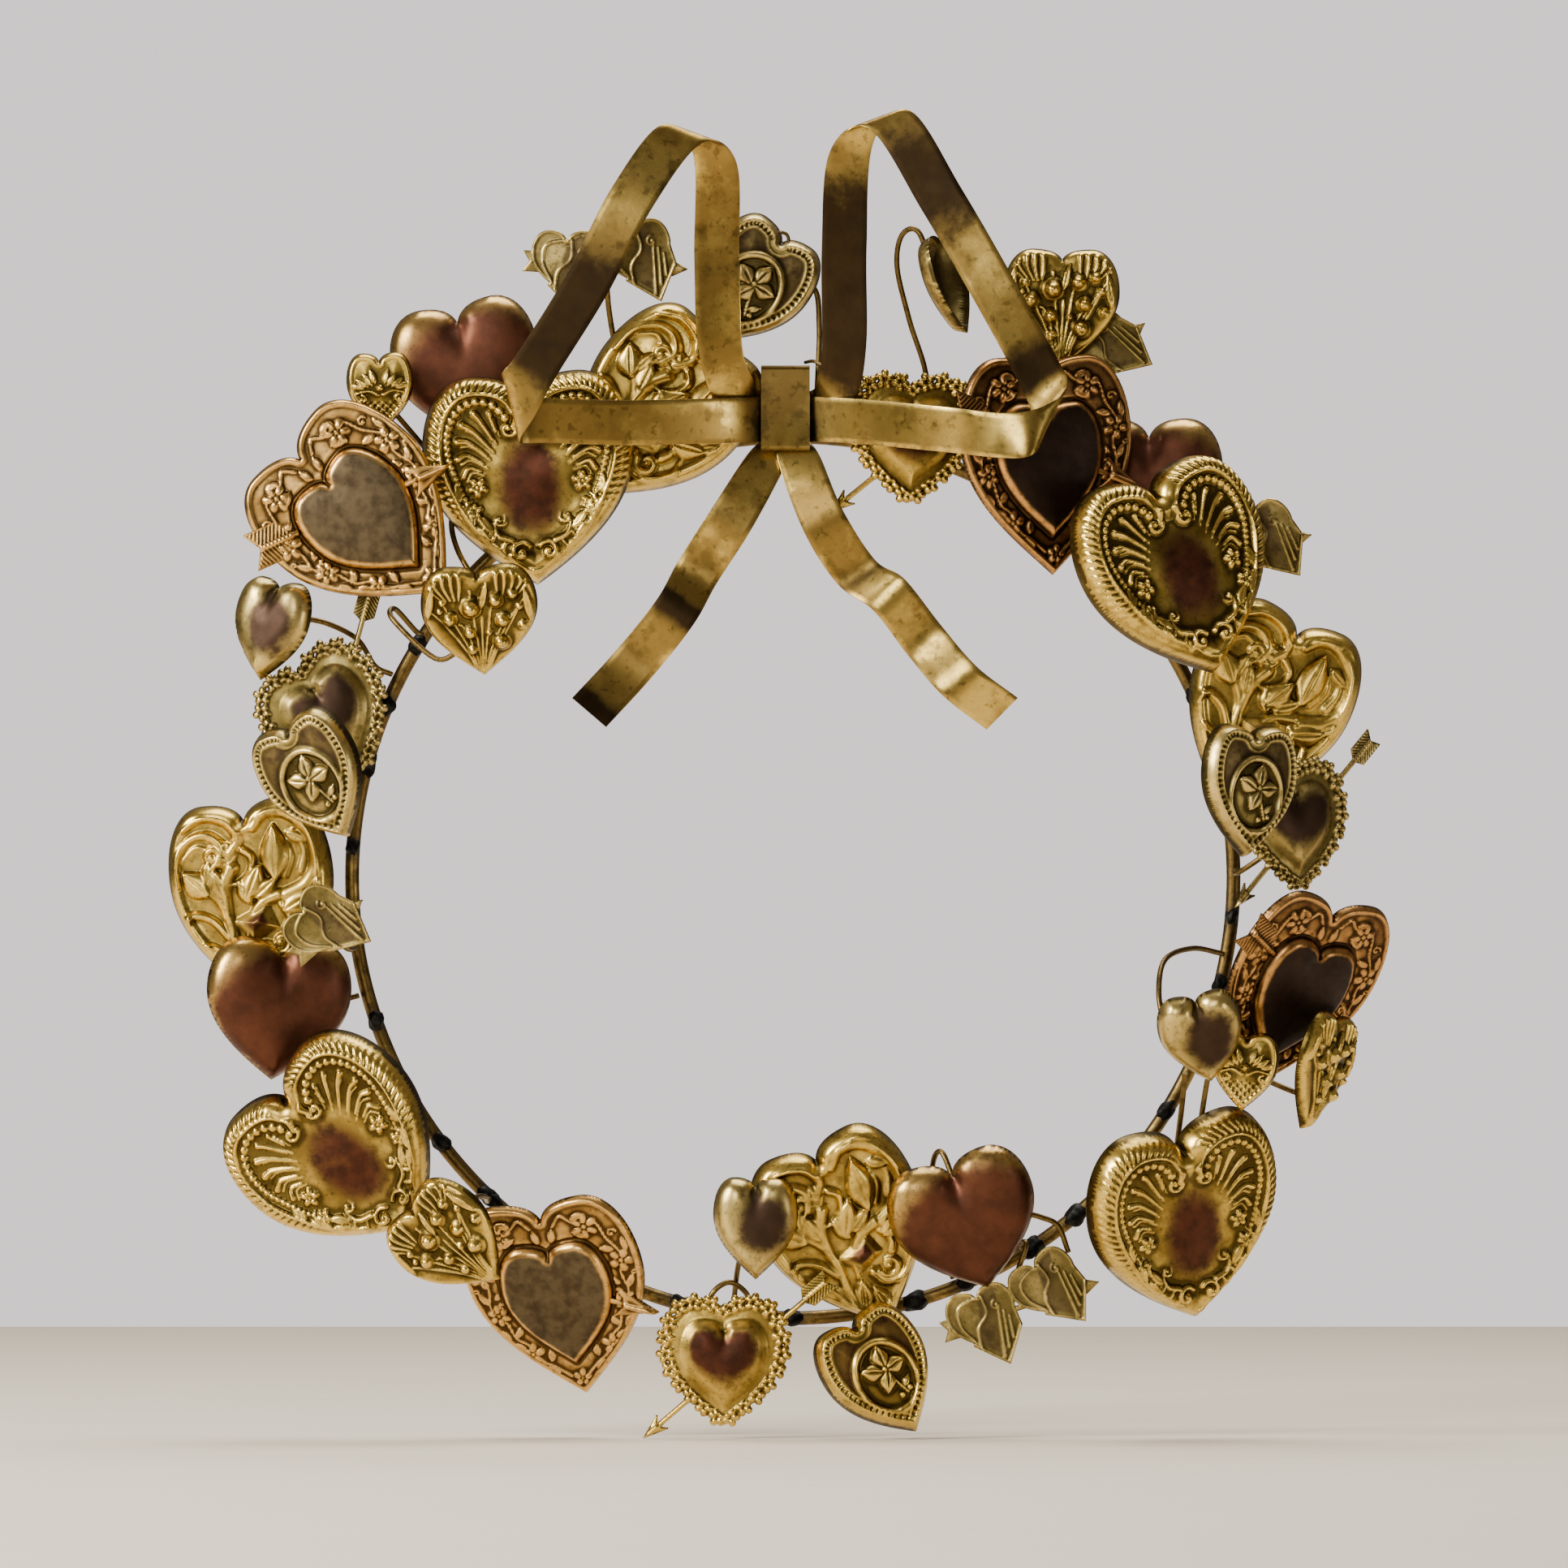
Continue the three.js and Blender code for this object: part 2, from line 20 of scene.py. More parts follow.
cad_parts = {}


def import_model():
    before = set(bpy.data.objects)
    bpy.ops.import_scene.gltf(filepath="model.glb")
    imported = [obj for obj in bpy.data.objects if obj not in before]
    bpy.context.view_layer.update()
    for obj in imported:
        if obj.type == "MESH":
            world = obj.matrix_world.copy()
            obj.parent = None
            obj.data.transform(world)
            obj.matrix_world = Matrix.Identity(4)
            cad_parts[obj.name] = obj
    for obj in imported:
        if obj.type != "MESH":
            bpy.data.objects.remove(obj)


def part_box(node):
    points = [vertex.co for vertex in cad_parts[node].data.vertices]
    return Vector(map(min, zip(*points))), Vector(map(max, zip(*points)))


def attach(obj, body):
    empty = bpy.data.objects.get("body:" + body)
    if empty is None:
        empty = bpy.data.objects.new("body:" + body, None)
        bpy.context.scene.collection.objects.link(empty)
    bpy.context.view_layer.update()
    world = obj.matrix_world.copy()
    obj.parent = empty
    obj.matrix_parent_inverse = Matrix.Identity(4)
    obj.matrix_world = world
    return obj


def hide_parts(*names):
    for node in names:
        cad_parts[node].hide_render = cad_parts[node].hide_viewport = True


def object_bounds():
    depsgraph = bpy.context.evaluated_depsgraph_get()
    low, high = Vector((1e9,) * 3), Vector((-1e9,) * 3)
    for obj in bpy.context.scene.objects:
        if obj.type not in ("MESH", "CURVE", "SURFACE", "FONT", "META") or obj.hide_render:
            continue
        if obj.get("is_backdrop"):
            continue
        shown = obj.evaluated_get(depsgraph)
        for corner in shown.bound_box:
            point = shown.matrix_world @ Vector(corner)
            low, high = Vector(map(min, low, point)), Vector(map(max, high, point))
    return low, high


LOG = logging.getLogger("wreath")
MM = 0.001
FINE = 0.4  # grid of a stamping with relief
COARSE = 0.9  # grid of a smooth stamping
SHEET = 0.45  # thickness of the stamped sheet
RING_RADIUS = 125.0
ROD = 2.0  # radius of the ring's rod
WIRE = 0.8  # radius of a stem
SHORT_STEM = 4.0  # a stem shorter than this runs straight
BACK_WEAR = 0.4  # wear of a stamping's back, a little under plain metal's 0.5
# Where solder sits round the ring, in degrees from +x.
JOINTS = (24, 148, 157, 165, 176, 199, 207, 217, 226, 227, 255, 270, 286, 293, 303, 310, 328, 346, 355)

Array = np.ndarray
Point = tuple[float, ...]


# ---- colours and nodes ----


def linear(code: str) -> tuple[float, float, float, float]:
    """Turns an sRGB hex code into a linear colour.

    Args:
        code: six hex digits after a #.

    Returns:
        Linear red, green, blue, and an alpha of 1.
    """
    parts = [int(code[i : i + 2], 16) / 255 for i in (1, 3, 5)]
    red, green, blue = (p / 12.92 if p <= 0.04045 else ((p + 0.055) / 1.055) ** 2.4 for p in parts)
    return red, green, blue, 1.0


def node(tree: bpy.types.NodeTree, kind: str, inputs: dict, **settings: object) -> bpy.types.Node:
    """Adds a node.

    Args:
        tree: the node tree that takes it.
        kind: the node's class name.
        inputs: a value or another node's socket for each named or numbered input.
        settings: the node's own properties.

    Returns:
        The new node.
    """
    made = tree.nodes.new(kind)
    for name, value in settings.items():
        setattr(made, name, value)
    for key, value in inputs.items():
        if isinstance(value, bpy.types.NodeSocket):
            tree.links.new(value, made.inputs[key])
        else:
            made.inputs[key].default_value = value
    return made


@dataclass(frozen=True)
class Brass:
    """A finish of brass with patina.

    Attributes:
        name: the material's name.
        bright: colour of the worn high spots.
        dull: colour of the plain metal.
        grime: colour in the hollows.
        stain: colour of the oxide.
        blotch_mm: size of the patches of tarnish.
        tarnish: how much of the plain metal is dull, from 0 to 1.
        hollow: how dark the hollows go, from 0 to 1.
        rough: roughness of the bright metal.
        oxide_metal: how metallic the oxide still looks.
        cloud: how much grime clouds the oxide.
        pit_mm: size of the pits.
        pit_depth_mm: depth of the pits.
    """

    name: str
    bright: str
    dull: str
    grime: str
    stain: str
    blotch_mm: float = 9.0
    tarnish: float = 0.5
    hollow: float = 0.85
    rough: float = 0.3
    oxide_metal: float = 0.55
    cloud: float = 0.5
    pit_mm: float = 0.7
    pit_depth_mm: float = 0.05

    def material(self) -> bpy.types.Material:
        """Builds the material, which reads the attributes "wear" and "stain" of a piece.

        Returns:
            The material.
        """
        made = bpy.data.materials.new(self.name)
        made.use_nodes = True
        tree = made.node_tree
        tree.nodes.clear()
        place = node(tree, "ShaderNodeTexCoord", {}).outputs["Object"]
        blotch = self._noise(tree, place, self.blotch_mm, 5.0)
        mottle = self._noise(tree, place, 0.3 * self.blotch_mm, 6.0)
        speck = self._noise(tree, place, self.pit_mm, 2.0)
        wear = node(tree, "ShaderNodeAttribute", {}, attribute_name="wear").outputs["Fac"]
        stain = node(tree, "ShaderNodeAttribute", {}, attribute_name="stain").outputs["Fac"]
        # Patches of it and all rubbed places are bright; the rest is dull.
        patchy = self._range(tree, blotch, 0.28 + 0.3 * self.tarnish, 0.5 + 0.3 * self.tarnish)
        worn = self._range(tree, wear, 0.5, 0.9)
        shine = self._math(tree, "MAXIMUM", patchy, worn)
        metal = self._mix(tree, shine, linear(self.dull), linear(self.bright))
        # A bloom of grime lies over part of it.
        bloom = self._range(tree, mottle, 0.5, 0.68)
        bloom = self._math(tree, "MULTIPLY", bloom, 0.3 + 0.3 * self.tarnish)
        metal = self._mix(tree, bloom, metal, linear(self.grime))
        # The hollows go dark, along an uneven edge.
        uneven = self._math(tree, "MULTIPLY_ADD", mottle, 0.3, wear)
        clean = self._range(tree, uneven, 0.43, 0.77, 1 - self.hollow)
        metal = self._mix(tree, clean, linear(self.grime), metal)
        # The pits hold grime.
        spotted = self._range(tree, speck, 0.33, 0.4, 0.6)
        metal = self._mix(tree, spotted, linear(self.grime), metal)
        # The oxide's edge wanders with the patches, and grime clouds it.
        edge = self._math(tree, "MULTIPLY_ADD", blotch, 0.6, stain)
        edge = self._math(tree, "MULTIPLY_ADD", mottle, 0.5, edge)
        oxide = self._range(tree, edge, 0.7, 1.35)
        clouds = self._math(tree, "MULTIPLY", self._range(tree, mottle, 0.35, 0.7), self.cloud)
        cloudy = self._mix(tree, clouds, linear(self.stain), linear(self.grime))
        colour = self._mix(tree, oxide, metal, cloudy)
        # Bright metal is glossier, oxide more matt and less metallic.
        matt = self._math(tree, "MULTIPLY_ADD", shine, -0.12, self.rough + 0.12)
        rough = self._math(tree, "MULTIPLY_ADD", oxide, 0.1, matt)
        loss = self._math(tree, "MULTIPLY_ADD", oxide, self.oxide_metal - 1, 1.0)
        bump = node(
            tree,
            "ShaderNodeBump",
            {"Strength": 0.5, "Distance": self.pit_depth_mm * MM, "Height": speck},
        )
        shader = node(
            tree,
            "ShaderNodeBsdfPrincipled",
            {
                "Base Color": colour,
                "Metallic": loss,
                "Roughness": rough,
                "Normal": bump.outputs["Normal"],
            },
        )
        node(tree, "ShaderNodeOutputMaterial", {"Surface": shader.outputs["BSDF"]})
        return made

    @staticmethod
    def _noise(tree: bpy.types.NodeTree, place: object, size_mm: float, detail: float) -> object:
        """A noise whose lumps are about size_mm across."""
        inputs = {"Vector": place, "Scale": 0.6 / (size_mm * MM), "Detail": detail, "Roughness": 0.6}
        return node(tree, "ShaderNodeTexNoise", inputs).outputs["Fac"]

    @staticmethod
    def _range(tree: bpy.types.NodeTree, value: object, low: float, high: float, floor: float = 0) -> object:
        """A smooth step from low to high.

        Args:
            tree: the material's nodes.
            value: the socket that is read.
            low: where the step starts.
            high: where it ends.
            floor: its result up to low; past high it is 1.

        Returns:
            The socket with the result.
        """
        inputs = {"Value": value, "From Min": low, "From Max": high, "To Min": floor, "To Max": 1.0}
        made = node(tree, "ShaderNodeMapRange", inputs, interpolation_type="SMOOTHSTEP")
        return made.outputs["Result"]

    @staticmethod
    def _math(tree: bpy.types.NodeTree, how: str, *values: object) -> object:
        """An arithmetic node on two or three values."""
        return node(tree, "ShaderNodeMath", dict(enumerate(values)), operation=how).outputs[0]

    @staticmethod
    def _mix(tree: bpy.types.NodeTree, share: object, first: object, second: object) -> object:
        """Mixes two colours."""
        return node(tree, "ShaderNodeMix", {0: share, 6: first, 7: second}, data_type="RGBA").outputs[2]


class Finish(Enum):
    """The wreath's finishes."""

    # Stamped brass, antiqued: dark in the hollows, rubbed to bright gold on the relief.
    GOLD = Brass(
        "stamped_brass_antiqued", "#dfbb5a", "#987a34", "#1c1307", "#4d2817", tarnish=0.45, rough=0.25,
        oxide_metal=0.85, cloud=0.6,
    )
    # The same brass left to tarnish: greyer and duller.
    AGED = Brass(
        "stamped_brass_tarnished", "#ccb169", "#85723c", "#1b1307", "#3b291b", tarnish=0.55, rough=0.3,
        oxide_metal=0.85, cloud=0.3,
    )
    # Stamped brass under a copper wash, with a grey-brown bloom on the middle heart.
    COPPER = Brass(
        "stamped_brass_copper_washed", "#e2b062", "#b48744", "#26160a", "#5f5036", blotch_mm=7, tarnish=0.35,
        hollow=0.9, rough=0.28, oxide_metal=0.8, cloud=0.65,
    )
    # The same copper wash painted a darker brown all over, as painted shade for the arrow hearts turned away
    # from the light; nearly black on the middle heart, painted shadow there.
    COPPER_PAINTED_SHADE = Brass(
        "stamped_brass_copper_painted_shade", "#c08d50", "#7c5730", "#180e06", "#2c1d12", blotch_mm=7,
        tarnish=0.55, hollow=0.9, rough=0.28, oxide_metal=0.8, cloud=0.6,
    )
    # Smooth brass under a red-brown cuprite film, with brassy edges; on the plain hearts the upper-left edges
    # are left brassiest, painted light from the upper left.
    RUSSET = Brass(
        "pressed_brass_cuprite_film", "#cda75c", "#8d6c3c", "#2c1a12", "#5d3522", blotch_mm=14, rough=0.26,
        oxide_metal=0.85, cloud=0.5,
    )
    # Drawn brass rod and wire: dull, with darkened stretches.
    WIRE = Brass(
        "drawn_brass_wire_tarnished", "#a88a4a", "#5e4a28", "#1c1307", "#1a130a", blotch_mm=7, tarnish=0.75
    )
    # Rolled brass strip: satin, speckled with pits and brown bloom; its stain colour paints the strips' dark
    # bands, partly tarnish and partly painted dark reflection.
    RIBBON = Brass(
        "rolled_brass_strip_satin", "#e6c264", "#94763a", "#20160a", "#33240f", blotch_mm=13, tarnish=0.5,
        rough=0.2, oxide_metal=0.9, pit_mm=1.5, pit_depth_mm=0.03,
    )
    # Soft solder gone black.
    SOLDER = Brass(
        "soft_solder_blackened", "#3a3833", "#1d1c1a", "#0c0b0a", "#111010", blotch_mm=2, rough=0.5
    )


class Slot(Enum):
    """Names of material slots."""

    ROD = "rod"
    GOLD = "gold"
    AGED = "aged"
    COPPER = "copper"
    RUSSET = "russet"
    WIRE = "wire"
    RIBBON = "ribbon"


# ---- shop tools ----


class Shop:
    """Turns bmeshes into dressed pieces that ride on the wreath."""

    def __init__(self) -> None:
        """Finds the bench from the CAD ring and builds every finish once."""
        low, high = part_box("ring")
        stand_up = Matrix.Translation((low + high) / 2) @ Matrix.Rotation(math.pi / 2, 4, "X")
        self.bench = stand_up @ Matrix.Scale(MM, 4)
        self.finishes = {finish: finish.value.material() for finish in Finish}

    @staticmethod
    def mesh(name: str, shape: bmesh.types.BMesh) -> bpy.types.Mesh:
        """Writes a bmesh to a mesh that is shaded smooth.

        Args:
            name: the mesh's name.
            shape: the bmesh, which is freed.

        Returns:
            The mesh, in bench millimetres.
        """
        made = bpy.data.meshes.new(name)
        shape.to_mesh(made)
        shape.free()
        made.polygons.foreach_set("use_smooth", [True] * len(made.polygons))
        return made

    def piece(
        self, name: str, mesh: bpy.types.Mesh, finish: Finish, nodes: Sequence[str] = ()
    ) -> bpy.types.Object:
        """Makes a piece of a mesh that lies on the bench.

        Args:
            name: the piece's name.
            mesh: its mesh, in bench millimetres.
            finish: its finish.
            nodes: the CAD nodes that it stands for.

        Returns:
            The piece, at the origin of the row frame.
        """
        mesh.transform(self.bench)
        mesh.materials.clear()
        mesh.materials.append(self.finishes[finish])
        made = bpy.data.objects.new(name, mesh)
        bpy.context.scene.collection.objects.link(made)
        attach(made, "root")
        if nodes:
            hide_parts(*nodes)
        LOG.info("%s: %d faces, %s", name, len(mesh.polygons), finish.value.name)
        return made


def paint(mesh: bpy.types.Mesh, name: str, values: Iterable[float]) -> None:
    """Stores one value a vertex on a mesh, for its material to read."""
    layer = mesh.attributes.new(name, "FLOAT", "POINT")
    layer.data.foreach_set("value", np.asarray(list(values), np.float32))


def smooth_path(points: Sequence[Point], steps: int = 6) -> Array:
    """Runs a Catmull-Rom curve through points.

    Args:
        points: the points, of two or three numbers each.
        steps: how many pieces each span is cut into.

    Returns:
        The curve's points, one a row.
    """
    knots = np.asarray(points, float)
    padded = np.vstack([2 * knots[0] - knots[1], knots, 2 * knots[-1] - knots[-2]])
    t = np.linspace(0, 1, steps, endpoint=False)[:, None]
    spans = []
    for a, b, c, d in zip(padded, padded[1:], padded[2:], padded[3:]):
        square = 2 * a - 5 * b + 4 * c - d
        cube = 3 * b - a - 3 * c + d
        spans.append(0.5 * (2 * b + (c - a) * t + square * t**2 + cube * t**3))
    return np.vstack([*spans, knots[-1:]])


def smooth_step(value: Array, low: float, high: float) -> Array:
    """Rises smoothly from 0 at low to 1 at high."""
    t = np.clip((value - low) / (high - low), 0, 1)
    return t * t * (3 - 2 * t)


def profile(distance: Array, knots: Sequence[Point]) -> Array:
    """Reads heights off a cross-section, with its corners rounded over 0.8 mm.

    Args:
        distance: how far inside the outline each place lies.
        knots: the cross-section's corners, as distance and height.

    Returns:
        The height at each place.
    """
    across, up = zip(*knots)
    shifts = (-0.4, -0.2, 0.0, 0.2, 0.4)
    return sum(np.interp(distance + shift, across, up) for shift in shifts) / len(shifts)


def blur(heights: Array, radius: int) -> Array:
    """Averages a grid of heights over squares, twice.

    Args:
        heights: the grid.
        radius: half the side of the squares, in cells.

    Returns:
        The smoothed grid.
    """
    width = 2 * radius + 1
    kernel = np.ones(width) / width
    for _ in range(2):
        for axis in (0, 1):
            pad = [(radius, radius) if axis == a else (0, 0) for a in (0, 1)]
            padded = np.pad(heights, pad, mode="edge")
            heights = np.apply_along_axis(np.convolve, axis, padded, kernel, "valid")
    return heights


def soften(heights: Array, inside: Array, start: float, cell: float) -> Array:
    """Rounds off the ridges in the middle of a dome, further in than start."""
    share = smooth_step(inside, start, 2 * start)
    return heights * (1 - share) + blur(heights, max(1, round(0.4 * start / cell))) * share


# ---- outlines ----


@dataclass(frozen=True)
class HeartSize:
    """A heart's outline, with its origin midway between cleft and tip.

    Attributes:
        width: from side to side.
        length: from cleft to tip.
        notch: how far the lobes rise over the cleft.
        belly: how full it is beside the tip, as a share of the half-width.
    """

    width: float
    length: float
    notch: float
    belly: float = 0.38

    def outline(self, scale: float = 1.0) -> Array:
        """Draws the outline with three bends a side.

        Args:
            scale: its size against the whole heart.

        Returns:
            Its points, anticlockwise from the tip.
        """
        a = self.width / 2
        cleft = self.length / 2
        top = cleft + self.notch
        tip = -cleft
        wide = top - 0.36 * (top - tip)
        low, high = tip + 0.24 * (wide - tip), wide - 0.45 * (wide - tip)
        bends = (
            ((0, tip), (self.belly * a, low), (a, high), (a, wide)),
            ((a, wide), (a, wide + 0.58 * (top - wide)), (0.8 * a, top), (0.5 * a, top)),
            ((0.5 * a, top), (0.26 * a, top), (0.06 * a, cleft + 0.7 * self.notch), (0, cleft)),
        )
        t = np.linspace(0, 1, 24, endpoint=False)[:, None]
        right = []
        for bend in bends:
            p, q, r, s = np.asarray(bend, float)
            right.append((1 - t) ** 3 * p + 3 * (1 - t) ** 2 * t * q + 3 * (1 - t) * t**2 * r + t**3 * s)
        side = np.vstack([*right, [[0, cleft]]])
        return scale * np.vstack([side, side[-2:0:-1] * (-1, 1)])


@dataclass
class Fence:
    """A closed outline that tells how far inside it a point lies.

    Attributes:
        points: its corners in order, one a row.
    """

    points: Array

    def inside(self, x: Array, y: Array) -> Array:
        """Signed distance in millimetres, positive inside."""
        return self.measure(x, y)[0]

    def measure(self, x: Array, y: Array) -> tuple[Array, Array]:
        """Measures points against the outline.

        Args:
            x: the points' x.
            y: the points' y.

        Returns:
            The signed distance, positive inside, and how far round the outline the nearest place is.
        """
        flat_x, flat_y = x.ravel(), y.ravel()
        best = np.full(flat_x.shape, 1e9)
        along = np.zeros(flat_x.shape)
        crossings = np.zeros(flat_x.shape, int)
        run = 0.0
        for (ax, ay), (bx, by) in zip(self.points, np.roll(self.points, -1, axis=0)):
            dx, dy = bx - ax, by - ay
            span = math.hypot(dx, dy)
            if span < 1e-9:
                continue
            t = np.clip(((flat_x - ax) * dx + (flat_y - ay) * dy) / span**2, 0, 1)
            gap = np.hypot(flat_x - ax - t * dx, flat_y - ay - t * dy)
            nearer = gap < best
            best = np.where(nearer, gap, best)
            along = np.where(nearer, run + t * span, along)
            spans_y = (ay > flat_y) != (by > flat_y)
            if ay != by:
                crossings += spans_y & (flat_x < ax + (flat_y - ay) * dx / dy)
            run += span
        signed = np.where(crossings % 2 == 1, best, -best)
        return signed.reshape(x.shape), along.reshape(x.shape)


# ---- punches ----


class Relief:
    """Raised work over a grid, in millimetres."""

    def __init__(self, x: Array, y: Array, bold: float = 1.0) -> None:
        """Starts flat.

        Args:
            x: the grid's x.
            y: the grid's y.
            bold: what every stroke's and leaf's width is multiplied by.
        """
        self.x = x
        self.y = y
        self.bold = bold
        self.height = np.zeros(x.shape)

    def stroke(
        self, points: Sequence[Point], start: float, end: float, height: float, steps: int = 5
    ) -> None:
        """Raises a rounded ridge along a path.

        Args:
            points: the path.
            start: half-width at its start.
            end: half-width at its end.
            height: height where it is widest.
            steps: how finely the path is curved.
        """
        path = smooth_path(points, steps)
        widths = self.bold * np.linspace(start, end, len(path))
        widest = widths.max()
        lo, hi = path.min(0) - widest, path.max(0) + widest
        near = (self.x > lo[0]) & (self.x < hi[0]) & (self.y > lo[1]) & (self.y < hi[1])
        x, y = self.x[near], self.y[near]
        raised = np.zeros(x.shape)
        for (ax, ay), (bx, by), ra, rb in zip(path, path[1:], widths, widths[1:]):
            dx, dy = bx - ax, by - ay
            t = np.clip(((x - ax) * dx + (y - ay) * dy) / max(dx * dx + dy * dy, 1e-9), 0, 1)
            radius = np.maximum(ra + (rb - ra) * t, 0.05)
            gap = np.hypot(x - ax - t * dx, y - ay - t * dy) / radius
            raised = np.maximum(raised, height * (radius / widest) ** 0.6 * np.clip(1 - gap**2, 0, 1))
        self.height[near] = np.maximum(self.height[near], raised)

    def leaf(
        self, at: Point, long: float, wide: float, angle: float, height: float, vein: float = 0.35
    ) -> None:
        """Raises a pointed leaf with a vein.

        Args:
            at: its middle.
            long: its length.
            wide: its width.
            angle: its direction in degrees.
            height: its height.
            vein: how deep the vein is cut, as a share of the height.
        """
        turn = math.radians(angle)
        u = (self.x - at[0]) * math.cos(turn) + (self.y - at[1]) * math.sin(turn)
        v = (self.y - at[1]) * math.cos(turn) - (self.x - at[0]) * math.sin(turn)
        t = np.clip(2 * u / long, -1, 1)
        half = np.maximum(0.5 * self.bold * wide * (1 - t**2) * (1 - 0.25 * t), 1e-3)
        body = height * np.clip(1 - (v / half) ** 2, 0, 1) ** 0.7 * (np.abs(2 * u / long) < 1)
        cut = vein * height * np.clip(1 - (v / 0.45) ** 2, 0, 1) * (body > 0.3 * height)
        self.height = np.maximum(self.height, body - cut)

    def bead(self, at: Point, radius: float, height: float) -> None:
        """Raises a round bead."""
        gap = np.hypot(self.x - at[0], self.y - at[1]) / radius
        self.height = np.maximum(self.height, height * np.clip(1 - gap**2, 0, 1) ** 0.6)

    def dent(self, at: Point, radius: float, depth: float) -> None:
        """Sinks a round dimple."""
        gap = np.hypot(self.x - at[0], self.y - at[1]) / radius
        self.height -= depth * np.clip(1 - gap**2, 0, 1)

    def flower(self, at: Point, radius: float, petals: int, turn: float, height: float) -> None:
        """Raises a flower: rounded petals, grooves between them and a bead in the middle.

        Args:
            at: its middle.
            radius: its radius.
            petals: how many petals it has.
            turn: its turn in degrees.
            height: its height.
        """
        dx, dy = self.x - at[0], self.y - at[1]
        angle = np.arctan2(dy, dx) - math.radians(turn)
        lobe = np.abs(np.cos(0.5 * petals * angle))
        reach = radius * (0.5 + 0.5 * lobe**0.7)
        gap = np.hypot(dx, dy) / reach
        body = height * np.clip(1 - gap**4, 0, 1) * (0.45 + 0.55 * lobe**0.6)
        cup = 0.7 * height * np.clip(1 - (np.hypot(dx, dy) / (0.36 * radius)) ** 2, 0, 1)
        self.height = np.maximum(self.height, body - cup)
        self.bead(at, 0.22 * radius, 0.9 * height)

    def spiral(
        self, at: Point, radius: float, turns: float, facing: float, hand: int, wide: float, height: float
    ) -> None:
        """Raises a scroll that winds in from its mouth.

        Args:
            at: its eye.
            radius: the distance from eye to mouth.
            turns: how many turns it makes.
            facing: the direction from eye to mouth, in degrees.
            hand: 1 to wind in anticlockwise, -1 clockwise.
            wide: half-width at the mouth.
            height: its height.
        """
        t = np.linspace(0, 1, int(10 * turns) + 3)
        angle = math.radians(facing) + hand * 2 * math.pi * turns * t
        reach = radius * (1 - 0.86 * t)
        points = np.stack([at[0] + reach * np.cos(angle), at[1] + reach * np.sin(angle)], axis=1)
        self.stroke([tuple(p) for p in points], wide, 0.55 * wide, height, 2)
        self.bead(at, 0.9 * wide, 1.15 * height)


# ---- stampings ----


@dataclass
class Pressing:
    """The grids of one stamping: its front heights, its stain, and the distance inside its outline."""

    height: Array
    stain: Array
    inside: Array


